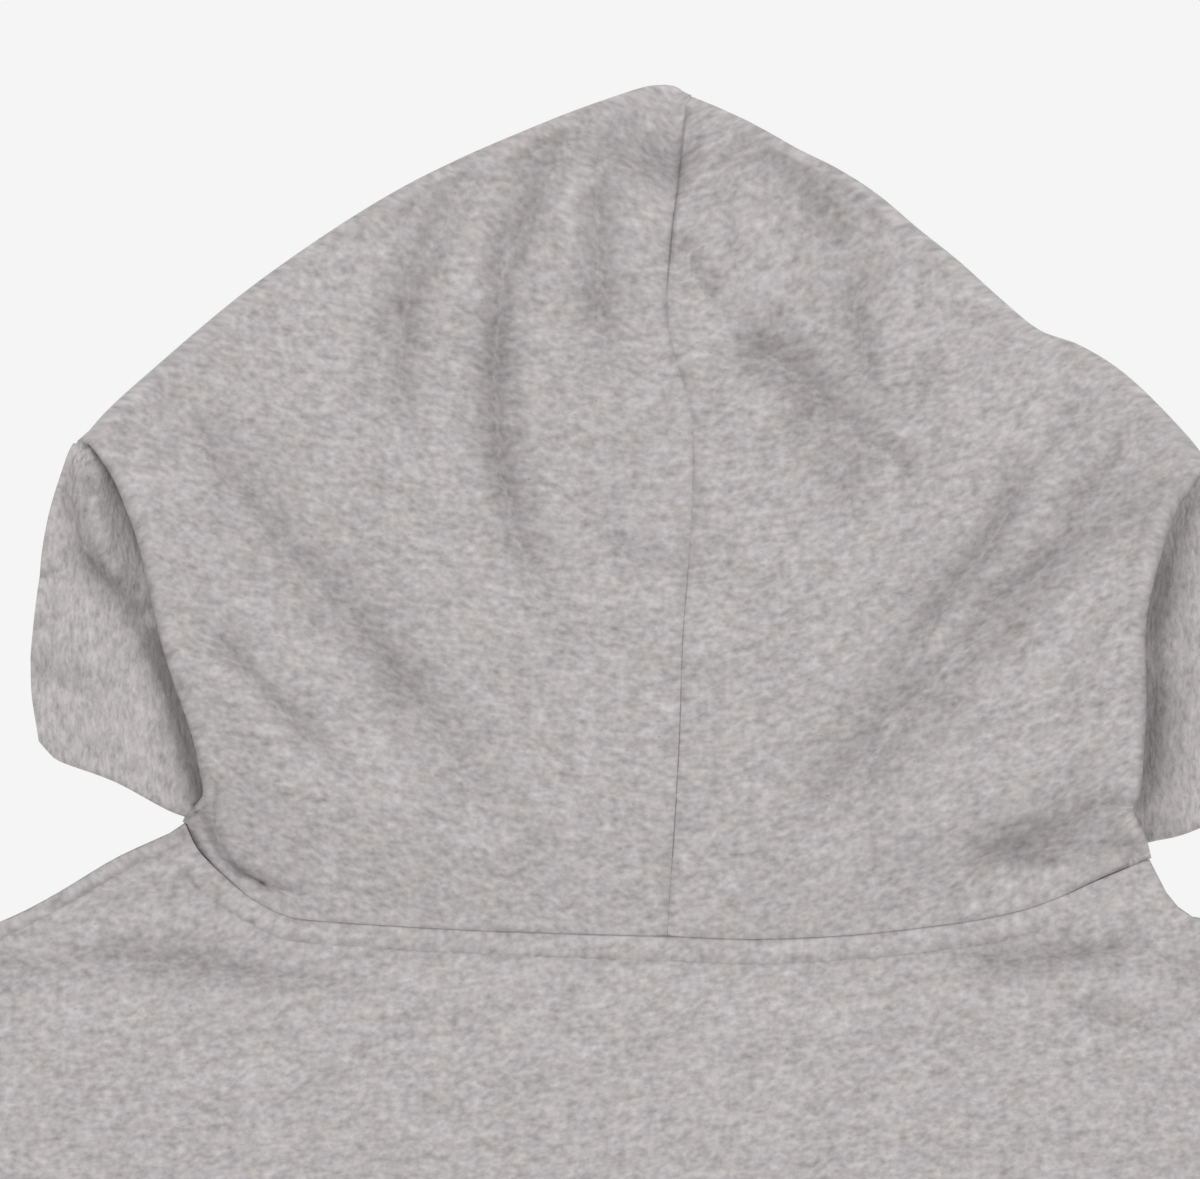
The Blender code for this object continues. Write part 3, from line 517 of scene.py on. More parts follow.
def heather_knit(name, level=0.41, contrast=0.41):
    shader = Shader(name, 0.6, Sheen_Weight=0.08, Sheen_Roughness=0.6, Specular_IOR_Level=0.5)
    grain = shader.attribute("grain")
    streaks = shader.noise(shader.stretched(grain, 4.0 * MM, 2.35 * MM), 1.2, 0.5)
    fine = shader.noise(shader.stretched(grain, 1.8 * MM, 1.3 * MM), 1.0, 0.5, shift=4.0)
    cloud = shader.noise(shader.stretched(grain, 16 * MM, 9 * MM), 2.0, 0.5, shift=9.0)
    value = shader.mixed([(streaks, 0.42), (fine, 0.39), (cloud, 0.19)])
    dark, pale = grey(level * (1 - contrast), 0.045), grey(level * (1 + contrast), 0.052)
    colour = shader.colours(value, [(0.30, dark), (0.5, grey(level, 0.058)), (0.70, pale)])
    tint = shader.noise(shader.stretched(grain, 9 * MM, 4.5 * MM), 1.5, 0.5, shift=15.0)
    warm = shader.spread(tint, 0.42, 0.66, 0.0, 0.8)
    colour = shader.blend(warm, colour, (1.0, 0.985, 0.94, 1), "MULTIPLY")
    specks = shader.noise(shader.stretched(grain, 1.6 * MM, 0.9 * MM), 0.0, 0.5, shift=21.0)
    colour = shader.blend(shader.spread(specks, 0.73, 0.8, 0.0, 0.35), colour, (*grey(level * 0.5), 1))
    colour = with_painted_shade(shader, colour)
    knit = shader.mixed([(fine, 0.5), (streaks, 0.5)])
    stitches = shader.attribute("stitches")
    along, off = shader.part(stitches, 0), shader.part(stitches, 1)
    groove = shader.spread(shader.math("ABSOLUTE", off), 0.15 * MM, 0.8 * MM, 1.0, 0.0, soft=True)
    holes = shader.math("COSINE", shader.math("MULTIPLY", along, 2 * math.pi / STITCH))
    holes = shader.math("MULTIPLY", shader.spread(holes, -0.3, 1.0, 0.0, 1.0, soft=True), groove)
    # darker colour in the stitching's groove and needle holes: thread, and painted shade in those hollows
    colour = shader.blend(shader.math("MULTIPLY", groove, 0.05), colour, THREAD_AND_GROOVE_SHADE)
    colour = shader.blend(shader.math("MULTIPLY", holes, 0.12), colour, HOLE_SHADE_COLOUR)
    normal = shader.bump(knit, 0.35 * MM, 0.4)
    return shader.finish(colour, normal)


heather = heather_knit("heather_knit")
print("outer face: streaks of pale and dark fibre along the courses")


# %% The inner face: brushed nap
def brushed_nap(name, level=0.43):
    shader = Shader(name, 0.7, Sheen_Weight=0.15, Sheen_Roughness=0.7, Specular_IOR_Level=0.4)
    grain = shader.attribute("grain")
    hairs = shader.noise(shader.stretched(grain, 0.95 * MM, 2.4 * MM), 3.0, 0.65, 0.4)
    tufts = shader.noise(shader.stretched(grain, 2.2 * MM, 4.5 * MM), 2.0, 0.6, 0.3, shift=3.0)
    value = shader.mixed([(hairs, 0.55), (tufts, 0.45)])
    dark, pale = grey(level * 0.6, 0.06, -0.2), grey(level * 1.35, 0.055, -0.2)
    colour = shader.colours(value, [(0.32, dark), (0.5, grey(level, 0.06, -0.2)), (0.68, pale)])
    colour = with_painted_shade(shader, colour)
    normal = shader.bump(value, 0.9 * MM, 0.8)
    return shader.finish(colour, normal)


nap = brushed_nap("brushed_nap")
print("inner face: brushed nap along the wales")

# %% [markdown]
# ## Where the edges lie
# The outlines are in millimetres from the nape, x to the wearer's right and y up the back. They
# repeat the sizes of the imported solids, with more points where the eye sees the edge.

# %% Layers and outlines
FLOOR_LAYER, EDGE_LAYER, BACK_LAYER, CUFF_LAYER = 1.0 * MM, 3.3 * MM, 5.6 * MM, 5.0 * MM
CHEEK_LAYER, CROWN_LAYER, SIDE_LAYER, GABLE_LAYER = 4.0 * MM, 6.8 * MM, 8.8 * MM, 5.7 * MM
BAND_SEAM_Y, HEM_Y = -607 * MM, -672 * MM

NECK_BACK = {  # nape to the neck point of the shoulder
    "left": [
        (-2, 0), (-44, 1.2), (-69, 2.5), (-91, 4), (-98, 5.4), (-104, 8.3), (-110, 12.5), (-119, 21),
        (-122.5, 28),
    ],
    "right": [(-2, 0), (20, -0.7), (45, 0.4), (71, 3.4), (86, 6.4), (96, 9.8), (106, 14), (118.5, 19)],
}
SHOULDER = {  # neck point to the armhole
    "left": [(-122.5, 28), (-126, 25.5), (-140, 19), (-155, 10), (-169, 3), (-210, -14), (-262, -36)],
    "right": [
        (118.5, 19), (120.5, 15), (123.5, 9.5), (127, 6), (131.5, 4), (150, 2), (169, -2), (210, -14),
        (262, -36),
    ],
}
ARMHOLE = [(262, -36), (251, -98), (250, -168), (261, -232), (290, -282)]
SIDE_SEAM = [(290, -282), (292, -400), (290, -520), (284, -607)]
NECK_STITCH = [  # topstitching below the neck seam
    (-123, 16.5), (-115.5, 9), (-100, 0.4), (-92, -1.4), (-76, -2.6), (-59, -3.8), (-1, -6.1),
    (20, -6.8), (45, -5.6), (71, -2.8), (91, 2), (116, 12.5),
]
HOOD_SEAM = [  # centre seam, nape to the top of the hood
    (-2, 0), (0.8, 46.5), (1.8, 74), (3.8, 99), (4.5, 121.5), (3.3, 134), (-1.3, 149), (-2, 159),
    (-0.8, 176.5), (1.3, 191.5), (3, 210.6),
]
GABLE = {  # fold along the top of the hood, centre seam to corner
    "left": [
        (3, 210.6), (1, 212.4), (-4, 213), (-12, 211.2), (-36, 202.3), (-69, 187), (-104, 164),
        (-134, 139), (-149, 125),
    ],
    "right": [
        (3, 210.6), (11, 207.3), (21, 202.6), (31, 197), (41, 192), (51, 185.5), (61, 177), (71, 169),
        (81, 160), (91, 151.8), (101, 148), (111, 142), (121, 133), (135, 118),
    ],
}
SIDE_FOLD = {  # fold down each side of the hood, neck point to corner
    "left": [
        (-122.5, 28), (-120.8, 31.5), (-117.8, 35), (-118.8, 41.5), (-121.3, 51.5), (-125, 62),
        (-129, 75), (-133.3, 94), (-136.3, 104), (-141, 114), (-149, 125),
    ],
    "right": [
        (118.5, 19), (117, 25.3), (114.8, 32), (116.5, 36), (117.5, 49), (118, 59), (118, 79),
        (122.5, 98), (126.3, 106.5), (135, 118),
    ],
}
WING_SIDE = {  # edge of the turned-under crown beyond the side fold, corner downwards
    "left": [(-149, 125), (-152, 119), (-156.3, 104), (-158, 89), (-160.5, 66), (-158.5, 49)],
    "right": [(135, 118), (147, 104), (154, 84), (156, 64), (153, 45)],
}
CROWN_HEM = {  # edge of the face opening on the turned-under crown, wing to middle
    "left": [
        (-158.5, 49), (-156.3, 46.5), (-153, 44), (-139, 39), (-124, 31), (-118.5, 31), (-109, 42),
        (-60, 33), (0, 16),
    ],
    "right": [(153, 45), (144, 36), (131, 28), (121.3, 24.5), (115.5, 25), (106, 37), (60, 30), (0, 16)],
}
NECK_FRONT = {  # neck point to the centre front
    "left": [(-122.5, 28), (-105, -4), (-76, -32), (-40, -53), (-3, -60)],
    "right": [(118.5, 19), (104, -8), (76, -34), (40, -53), (3, -60)],
}
CHEEK_EDGE = {  # edge of the face opening on the side folded under, centre front upwards
    "left": [(-3, -60), (-28, -24), (-56, 14), (-84, 50), (-108, 84), (-124, 106), (-135, 120)],
    "right": [(3, -60), (28, -24), (54, 12), (78, 46), (98, 76), (111, 98), (120, 113)],
}
WING_VALLEY = {  # deepest line of the gap between the side fold and the nap beyond it
    "left": [
        (-149, 125), (-150.5, 115), (-149.3, 104), (-148, 97.5), (-144, 91.5), (-138, 85),
        (-132.5, 77.5), (-128, 67), (-120, 42), (-118.3, 35.5), (-119, 31),
    ],
}
seen = (NECK_BACK, SHOULDER, GABLE, SIDE_FOLD, WING_SIDE)
print("outlines:", sum(len(rows) for table in seen for rows in table.values()), "points on the seen edge")

# %% Folds that the eye sees on the hood and the back
# slope of the flanks, half-width in mm, route in mm from the nape, then how soon it starts and ends
HOOD_FOLDS = [
    (0.93, 3.9, [(-27, 206), (-30, 199), (-34, 190), (-37.5, 182), (-41, 173), (-43.5, 160),
        (-44.5, 145), (-45, 132), (-43.5, 117), (-41, 104), (-37, 91), (-31, 79), (-24, 68),
        (-18, 60)], 0.06, 0.5),
    (0.92, 4.4, [(-56, 195), (-63.5, 172), (-68.5, 147), (-67.5, 134), (-63, 120)], 0.06, 0.5),
    (0.24, 3.4, [(-70, 160), (-74, 150), (-76, 140), (-74, 128)], 0.3, 0.3),
    (0.72, 3.8, [(-17, 194), (-19.5, 184), (-19.5, 170), (-19, 157), (-17.5, 147), (-14, 137),
        (-8, 130)], 0.2, 0.5),
    (0.90, 4.2, [(-20, 199), (-8, 193.5), (0, 191.2), (10, 192.5)], 0.15, 0.3),
    (0.34, 3.0, [(8, 190), (13, 182), (14.5, 173), (13, 164)], 0.3, 0.3),
    (0.33, 7.6, [(-134, 142), (-123, 128), (-110, 110), (-99, 97), (-90, 88), (-80, 79), (-70, 66),
        (-61, 52), (-51, 39), (-41, 27), (-33, 17)], 0.15, 0.25),
    (0.18, 6.0, [(-130, 128), (-117, 108), (-106, 95), (-97, 86), (-86, 76)], 0.2, 0.3),
    (0.30, 4.0, [(-93, 88), (-83, 75), (-70, 64), (-60, 52)], 0.3, 0.3),
    (0.62, 3.6, [(-118, 79), (-110, 69), (-103, 61), (-96, 54), (-88, 47), (-80, 41)], 0.25, 0.3),
    (0.46, 3.6, [(1, 177), (3.5, 169), (7, 162), (11, 156), (15, 151)], 0.25, 0.4),
    (0.70, 6.2, [(12, 152.5), (17, 149), (23, 145.5), (30, 140.5), (35, 135), (39, 126), (42, 116),
        (44.5, 106), (46, 96)], 0.25, 0.35),
    (0.28, 3.0, [(14, 145), (21, 141.5), (28, 139), (34, 134)], 0.3, 0.3),
    (0.34, 4.6, [(38, 127), (46, 124), (54, 120), (58, 114), (62, 108)], 0.3, 0.4),
    (0.95, 7.0, [(20, 203), (28, 193), (36, 184), (42, 175), (46, 164)], 0.08, 0.4),
    (0.60, 3.4, [(52, 170), (48, 164), (45, 157), (47, 148), (48, 138), (46, 130)], 0.2, 0.3),
    (0.38, 3.6, [(62, 150), (64, 140), (62, 130), (58, 120)], 0.3, 0.3),
    (0.58, 7.6, [(131, 116), (120, 110), (109, 103), (99, 95.5), (89.5, 88), (80, 79.5), (70.5, 70),
        (60, 59), (51, 48), (41, 36), (33, 25), (25, 13)], 0.08, 0.25),
    (0.42, 5.5, [(126, 124), (114, 116), (103, 108), (93, 100)], 0.2, 0.4),
    (0.84, 3.2, [(93, 121), (86, 112), (79, 99), (72, 90), (66, 82), (60, 74), (52, 68)], 0.25, 0.25),
    (0.36, 3.6, [(106, 138), (100, 127), (93, 118), (85, 110)], 0.3, 0.3),
    (0.22, 4.0, [(-30, 118), (-20, 102), (-6, 92), (8, 89), (22, 93)], 0.3, 0.3),
    (0.24, 3.0, [(-17, 100), (-6, 88)], 0.3, 0.3),
]
NECK_CREASES = [
    (0.90, 3.2, [(79, 17.5), (89, 21.4), (108, 23.2), (117, 26)], 0.25, 0.1),
    (0.75, 3.4, [(67, 13.5), (76, 18.8), (86, 23.2), (97, 27), (106, 30), (115, 32.5)], 0.3, 0.15),
    (1.30, 1.4, [(-117.7, 34), (-116.6, 28), (-114.3, 21), (-109.4, 16.4), (-103, 13.1), (-94, 10.4),
        (-86, 9)], 0.05, 0.5),
]
HOOD_SHADE = [  # painted shade on the outer face between folds, and beside its seams
    (2.3, 0.8, [(3, 212), (2.6, 203), (1.3, 191.5), (-0.8, 176.5), (-2, 162)], 0.01, 0.2),
    (0.8, 0.8, [(-2, 162), (-1.3, 149), (1.3, 141.5), (3.3, 134)], 0.1, 0.1),
    (0.7, 4.6, [(-27, 205), (-35.5, 188), (-42, 166)], 0.1, 0.4),
    (0.6, 4.2, [(-56, 192), (-59, 183), (-63, 172), (-66, 160)], 0.1, 0.4),
    (0.5, 4.4, [(-68, 152), (-68, 141), (-66, 130), (-62, 120)], 0.3, 0.4),
    (1.0, 5.0, [(-17, 197), (-8, 194.5), (0, 192.5), (7, 192)], 0.2, 0.3),
    (0.8, 3.6, [(-14, 196), (-18, 188), (-19.5, 178)], 0.2, 0.3),
    (0.7, 7.5, [(20, 201), (37, 181), (48, 158)], 0.15, 0.4),
    (0.4, 4.4, [(50, 168), (47, 156), (48, 142), (46, 132)], 0.2, 0.3),
    (0.7, 6.0, [(130, 119), (112, 106), (95, 93), (80, 80), (66, 66)], 0.1, 0.4),
    (0.5, 5.0, [(-100, 100), (-84, 84), (-66, 62), (-50, 40)], 0.3, 0.4),
    (0.5, 3.4, [(-34, 84), (-28, 74), (-22, 66)], 0.3, 0.4),
    (1.0, 2.6, [(79, 17.5), (89, 21.4), (108, 23.2), (117, 26)], 0.25, 0.1),
    (0.8, 3.2, [(67, 13.5), (76, 18.8), (86, 23.2), (97, 27), (106, 30), (115, 32.5)], 0.3, 0.15),
    (2.8, 1.1, [(-118.2, 36), (-117.2, 29), (-114.6, 21.5), (-109.6, 16.6), (-103, 13.1),
        (-96, 11)], 0.1, 0.35),
    (0.7, 3.4, [(-112, 20), (-105, 15.5), (-97, 13), (-88, 11.5)], 0.3, 0.5),
]
WING_SHADE = [  # painted shade on the nap beside the folds, where it lies out of the light
    (1.1, 1.5, [(-151.5, 113), (-148, 98)], 0.3, 0.2),
    (2.9, 3.2, [(-149, 100), (-147, 95.5), (-144, 91.8), (-140, 88), (-136, 83.5), (-132.5, 79)], 0.3, 0.1),
    (1.9, 4.4, [(-144.5, 118), (-136, 101), (-133.5, 88)], 0.15, 0.4),
    (2.3, 3.8, [(-132.5, 80), (-130, 73), (-127, 65), (-123.5, 54), (-120.5, 44), (-119.5, 36),
        (-121, 31)], 0.1, 0.1),
    (1.9, 6.5, [(125, 100), (121.5, 88), (120.5, 80), (120.5, 68)], 0.3, 0.4),
    (1.9, 6.5, [(120.5, 70), (120, 56), (118, 44), (117, 34)], 0.3, 0.2),
]
BACK_FOLDS = [
    (0.84, 4.4, [(-215, -13.5), (-190, -10.5), (-168, -8), (-144, -6.7), (-119, -9.1), (-94, -11.5),
        (-66, -16.5), (-48, -22)], 0.2, 0.5),
    (0.45, 3.0, [(-150, 8), (-138, 12), (-128, 12), (-118, 6)], 0.3, 0.3),
    (0.92, 3.4, [(66, -12), (78, -9.5), (92, -6.4), (106, -4.4), (118, -5.5), (131, -9.5),
        (150, -14)], 0.25, 0.15),
    (0.50, 2.2, [(95, -15), (101, -18.5), (108, -21.5), (115, -23), (124, -22), (134, -19)], 0.2, 0.3),
    (0.28, 9, [(-248, -120), (-226, -190), (-196, -262), (-160, -380)], 0.2, 0.4),
    (0.30, 9, [(246, -110), (222, -180), (192, -258), (150, -352)], 0.2, 0.4),
    (0.26, 10, [(-84, -300), (-66, -420), (-86, -560)], 0.3, 0.2),
    (0.24, 9, [(60, -240), (84, -360), (72, -500)], 0.3, 0.3),
    (0.28, 6, [(-210, -420), (-150, -450), (-90, -446)], 0.3, 0.3),
    (0.28, 6, [(230, -460), (170, -500), (120, -498)], 0.3, 0.3),
    (0.16, 10, [(-40, -120), (-10, -190), (20, -260)], 0.3, 0.3),
]
print(len(HOOD_FOLDS), "folds on the hood and", len(BACK_FOLDS), "on the back")

# %% [markdown]
# ## The back
# One piece, from the neck seam to the hem band. Its edges are sewn to the fronts and lie lowest. In
# the middle it rests a little higher, on the air that is left between the two layers of the body.
# A row of topstitching runs below the neck seam and holds the seam allowance, so the cloth between
# the two is a little thicker. The shoulder seam runs just inside the outline.

# %% Height of the back
ZIP_LIFT, LIFT_X, LIFT_Y, SLIDER_Y = 3.4 * MM, 45 * MM, 55 * MM, -67 * MM
SHOULDER_TOPSTITCH = 3.4 * MM
AIR_IN_BACK = 6.2 * MM
neck_stitch_line = smooth_line(NECK_STITCH)
scoop_line = np.vstack([smooth_line(NECK_BACK["left"])[::-1], smooth_line(NECK_BACK["right"])[1:]])
shoulder_lines = [smooth_line(SHOULDER[s]) for s in SIDES]
side_lines = [smooth_line(SIDE_SEAM), mirrored(smooth_line(SIDE_SEAM))]


def zip_lift(plan):
    """The pull under the garment lifts the cloth round it."""
    x, y = plan[..., 0], plan[..., 1]
    return ZIP_LIFT * np.exp(-((x / LIFT_X) ** 2) - ((y - SLIDER_Y) / LIFT_Y) ** 2)


def back_ground(plan):
    """The back without its folds: low at the sewn edges."""
    edge = np.min([distance_to(line, plan) for line in shoulder_lines + side_lines], axis=0)
    neck = distance_to(scoop_line, plan)
    rise = (BACK_LAYER - EDGE_LAYER) * (1 - np.exp(-edge / (9 * MM)))
    air = AIR_IN_BACK * ramp(edge / (22 * MM)) * (0.55 + 0.45 * ramp(neck / (24 * MM)))
    return EDGE_LAYER + rise + air + zip_lift(plan) * 1.62


def back_height(plan):
    return sunk(back_ground(plan), folds(BACK_FOLDS, plan) - soft_waves(plan), EDGE_LAYER + 0.1 * MM)


def seam_dip(distance):
    """Cloth dips into a seam, sharply and then softly."""
    sharp, soft = np.exp(-((distance / (0.9 * MM)) ** 2)), np.exp(-((distance / (3 * MM)) ** 2))
    return 0.3 * MM * sharp + 0.3 * MM * soft


def neck_seam_shade(plan, to_neck):
    """Shade painted along the neck seam, less at the right neck point, where a fold shades it too."""
    share = 0.3 + 0.7 * ramp((100 * MM - plan[..., 0]) / (20 * MM))
    return 1.2 * share * np.exp(-((to_neck / (0.8 * MM)) ** 2))


def topstitch_relief(to_seam, past_stitch, raised=0.4 * MM):
    """The allowance raises the cloth between a seam and its topstitching, which pulls a groove."""
    band = ramp(to_seam / (1.5 * MM)) * ramp(0.5 - past_stitch / (2.4 * MM))
    groove = np.exp(-((past_stitch / (1.15 * MM)) ** 2))
    return raised * band - 0.5 * MM * groove


# %% Make the back
BELOW_EDGE = [  # mm down from the top, closest round the topstitching
    0.35, 0.9, 1.6, 2.2, 2.7, 3.1, 3.5, 3.9, 4.4, 4.9, 5.3, 5.6, 5.9, 6.3, 6.9, 7.8, 9, 10.6,
]


def rows_down(length):
    """Shares down the back: fine at the top, then every 2 mm to 90 mm, then wider."""
    fine = np.concatenate([[0], BELOW_EDGE, np.arange(12.4, 96, 1.9)]) * MM
    wide = np.linspace(fine[-1], length, 80)[1:]
    return np.concatenate([fine, wide]) / length


def stitch_rows(plan, lines):
    """For each point: distance along the nearest row of stitching, and off it."""
    found = np.full((*plan.shape[:-1], 2), NO_STITCHING)
    for line in lines:
        off, along = beside(line, plan)
        nearer = np.abs(off) < np.abs(found[..., 1])
        found[nearer] = np.stack([along, off], axis=-1)[nearer]
    return found.reshape(-1, 2)


def inside_line(line, distance):
    """A line moved to the right of its direction."""
    along = np.gradient(line, axis=0)
    along /= np.linalg.norm(along, axis=1)[:, None]
    return line + distance * np.column_stack([along[:, 1], -along[:, 0]])


def stitch_fade(plan):
    """The rows of stitching sink into the cloth beside the right neck point."""
    from_point = np.linalg.norm(plan - scoop_line[-1], axis=-1)
    return 0.1 + 0.9 * ramp((from_point - 12 * MM) / (30 * MM))


def make_back():
    down = rows_down(620 * MM)[::-1]
    up = 1 - down
    shoulder = {s: sampled(SHOULDER[s], even_shares(34)) for s in SIDES}
    neck = {s: sampled(NECK_BACK[s], seam_shares(125 * MM, 1.7 * MM)) for s in SIDES}
    scoop = np.vstack([neck["left"][::-1], neck["right"][1:]])
    scoop = inside_line(scoop, SEAM_GAP)
    top = np.vstack([shoulder["left"][::-1][:-1], scoop, shoulder["right"][1:]])
    side = np.vstack([smooth_line(SIDE_SEAM)[::-1], smooth_line(ARMHOLE)[::-1][1:]])
    right = at_shares(side, up)
    left = mirrored(right)
    across = lengths(top) / lengths(top)[-1]
    bottom = (1 - across[:, None]) * left[0] + across[:, None] * right[0]
    plan = patch(bottom, top, left, right, across, up)
    to_neck = distance_to(scoop_line, plan)
    to_shoulder = np.min([distance_to(line, plan) for line in shoulder_lines], axis=0)
    past_stitch = -beside(neck_stitch_line, plan)[0]
    fading = stitch_fade(plan)
    height = back_height(plan) - seam_dip(to_neck) + topstitch_relief(to_neck, past_stitch) * fading
    relief = topstitch_relief(to_shoulder, to_shoulder - SHOULDER_TOPSTITCH, 0.3 * MM)
    height += relief * ramp(to_neck / (6 * MM)) * fading
    height -= 0.9 * MM * np.exp(-((to_shoulder / (1.1 * MM)) ** 2))
    cloth = Cloth()
    rows = cloth.add_grid(np.concatenate([plan, height[..., None]], axis=-1), grain_of_back(plan))
    cloth.sew_round(rows)
    to_the_right = (shoulder_lines[0][::-1], shoulder_lines[1])
    shoulder_stitch = [inside_line(line, SHOULDER_TOPSTITCH) for line in to_the_right]
    stitches = stitch_rows(plan, [neck_stitch_line, *shoulder_stitch])
    fading = fading.ravel()
    stitches[:, 1] += (1 - fading) * 3 * MM * np.sign(stitches[:, 1])
    # painted shade along the topstitching, the neck seam and the bottoms of the back's folds
    at_stitches = 0.75 * fading * np.exp(-((stitches[:, 1] / (1.3 * MM)) ** 2))
    at_seam = neck_seam_shade(plan, to_neck)
    painted_shade = (painted_shade_along(BACK_FOLDS, plan) + at_seam).ravel() + at_stitches
    return thicken("back", cloth, heather, nap, stitches=stitches, painted_shade=painted_shade)


def grain_of_back(plan):
    """Courses rise a little towards the wearer's right on the left half of the back."""
    x, y = plan[..., 0], plan[..., 1]
    return np.stack([x, y - 0.12 * x + 0.00035 / MM * 0.5 * x * np.abs(x)], axis=-1)


back = make_back()

# %% [markdown]
# ## The hood
# Two halves meet in the centre seam. Each is one sheet with two turns: the crown folds under along
# the top, as far as the face opening, and shows its brushed inner face beyond the side fold; the
# side folds under along the side fold, down to the front neck seam. The top layer is highest where
# the folded sides lie beneath it.

# %% Height and plan of the hood
ACROSS = seam_shares(135 * MM, 1.35 * MM)
UP = seam_shares(200 * MM, 1.35 * MM)
CROWN_ROWS, CHEEK_COLUMNS = 64, 30
FOLD_ANGLES = [math.radians(a) for a in range(18, 180, 18)]
AIR_IN_HOOD = 8.0 * MM
GABLE_RADIUS = (GABLE_LAYER - FLOOR_LAYER) / 2
seam_line = smooth_line(HOOD_SEAM)


def cheek_cover(side, plan):
    """1 where the folded-under side lies beneath, 0 well inside its edge."""
    edge = smooth_line(CHEEK_EDGE[side])
    inside = np.abs(plan[..., 0]) - np.interp(plan[..., 1], edge[:, 1], np.abs(edge[:, 0]))
    return ramp(inside / (24 * MM) + 0.75)


def gable_rise(side, plan, width=22 * MM):
    return ramp(distance_to(smooth_line(GABLE[side]), plan) / width)


def cheek_height(side, plan):
    hem = smooth_line(CROWN_HEM[side])[::-1]
    over = plan[..., 1] - np.interp(np.abs(plan[..., 0]), np.abs(hem[:, 0]), hem[:, 1])
    full = EDGE_LAYER + (CHEEK_LAYER - EDGE_LAYER) * gable_rise(side, plan)
    from_seam = np.linalg.norm(plan - plan[:1], axis=-1)
    rise = ramp(over / (12 * MM) + 1.35) * ramp(from_seam / (8 * MM))
    return FLOOR_LAYER + (full - FLOOR_LAYER) * rise + zip_lift(plan)


def fold_radius(fold):
    from_neck = np.linalg.norm(fold - fold[0], axis=1)
    from_corner = np.linalg.norm(fold - fold[-1], axis=1)
    return 0.6 * MM + 2.05 * MM * ramp(from_neck / (18 * MM)) * ramp(from_corner / (20 * MM))


def eased(directions, passes=6):
    """Unit directions smoothed along their line."""
    for _ in range(passes):
        inner = (directions[:-2] + 2 * directions[1:-1] + directions[2:]) / 4
        directions = np.vstack([directions[:1], inner, directions[-1:]])
    return directions / np.linalg.norm(directions, axis=1)[:, None]


def outward_of(line):
    """Unit directions away from the middle of the hood."""
    along = np.gradient(line, axis=0)
    across = np.column_stack([-along[:, 1], along[:, 0]])
    across /= np.linalg.norm(across, axis=1)[:, None]
    across[((np.array([0, HOOD_TOP / 2]) - line) * across).sum(1) > 0] *= -1
    return eased(across, 12)


def turned_to_corner(first_out, first, second_out, second):
    """Near their common end, two rows of directions turn to the direction between them."""
    shared = first_out[-1] + second_out[-1]
    shared /= np.linalg.norm(shared)
    turned = []
    for out, line in ((first_out, first), (second_out, second)):
        share = ramp(np.linalg.norm(line - line[-1], axis=1) / (11 * MM))[:, None]
        blend = share * out + (1 - share) * shared
        turned.append(blend / np.linalg.norm(blend, axis=1)[:, None])
    return turned


def cut_at(line, point):
    """The line up to its place nearest to a point, with its last stretch moved to end in that point."""
    kept = line[: int(np.argmin(np.linalg.norm(line - point, axis=1))) + 1]
    along = lengths(kept)
    return kept + (point - kept[-1]) * ramp(1 - (along[-1] - along) / (14 * MM))[:, None]


def hood_edges(side):
    """Neck, gable, centre seam and side fold of the top layer, which stops short of a fold's outline."""
    sign = SIDES[side]
    gable, fold = smooth_line(GABLE[side]), smooth_line(SIDE_FOLD[side])
    gable = gable - outward_of(gable) * (GABLE_RADIUS + WALL / 2)
    from_neck = np.linalg.norm(fold - fold[0], axis=1)
    inset = (fold_radius(fold) + WALL / 2) * (0.35 + 0.65 * ramp(from_neck / (12 * MM)))
    fold = fold - outward_of(fold) * inset[:, None]
    apart = np.linalg.norm(gable[:, None] - fold, axis=2)
    corner = gable[np.unravel_index(apart.argmin(), apart.shape)[0]]
    seam = seam_line + (sign * SEAM_GAP / 2, 0)
    seam = cut_at(seam, seam[np.argmin(np.linalg.norm(seam - gable[0], axis=1))])
    gable = cut_at(gable, corner)
    gable[0] = seam[-1]
    fold = cut_at(fold, corner)
    neck = cut_at(smooth_line(NECK_BACK[side]), fold[0])
    neck[0] = seam[0]
    return neck, gable, seam, fold


def hood_ground(side, plan, neck_level, side_level):
    """The top layer without its folds."""
    cover = cheek_cover(side, plan)
    full = CROWN_LAYER + AIR_IN_HOOD + (SIDE_LAYER - CROWN_LAYER) * cover
    full = GABLE_LAYER + (full - GABLE_LAYER) * gable_rise(side, plan, 38 * MM)
    from_neck = np.linalg.norm(plan - plan[:1], axis=-1)
    from_side = np.linalg.norm(plan - plan[:, -1:], axis=-1)
    neck_rise, side_rise = ramp(from_neck / (32 * MM)), ramp(from_side / (24 * MM))
    height = neck_level + (full - neck_level) * neck_rise
    height = side_level[:, None] + (height - side_level[:, None]) * side_rise
    lowest = FLOOR_LAYER + WALL + 0.4 * MM + (cheek_height(side, plan) - FLOOR_LAYER) * cover
    free = ramp(from_neck / (14 * MM)) * ramp(from_side / (7 * MM)) * gable_rise(side, plan, 9 * MM)
    return height, lowest, free


def hood_grain(side, plan):
    """Courses rise towards the side of the hood, and steeply beside the top of the centre seam."""
    x, y = np.abs(plan[..., 0]), plan[..., 1]
    bend = 0.0042 if side == "left" else 0.0062
    slant = 0.55 * ramp((y - 150 * MM) / (50 * MM))
    lift = bend / MM * 0.5 * x**2 / (1 + x / (140 * MM)) + slant * x * np.exp(-x / (40 * MM))
    return np.stack([plan[..., 0], y - lift], axis=-1)


print("hood grid:", len(UP), "rows by", len(ACROSS), "columns a side")


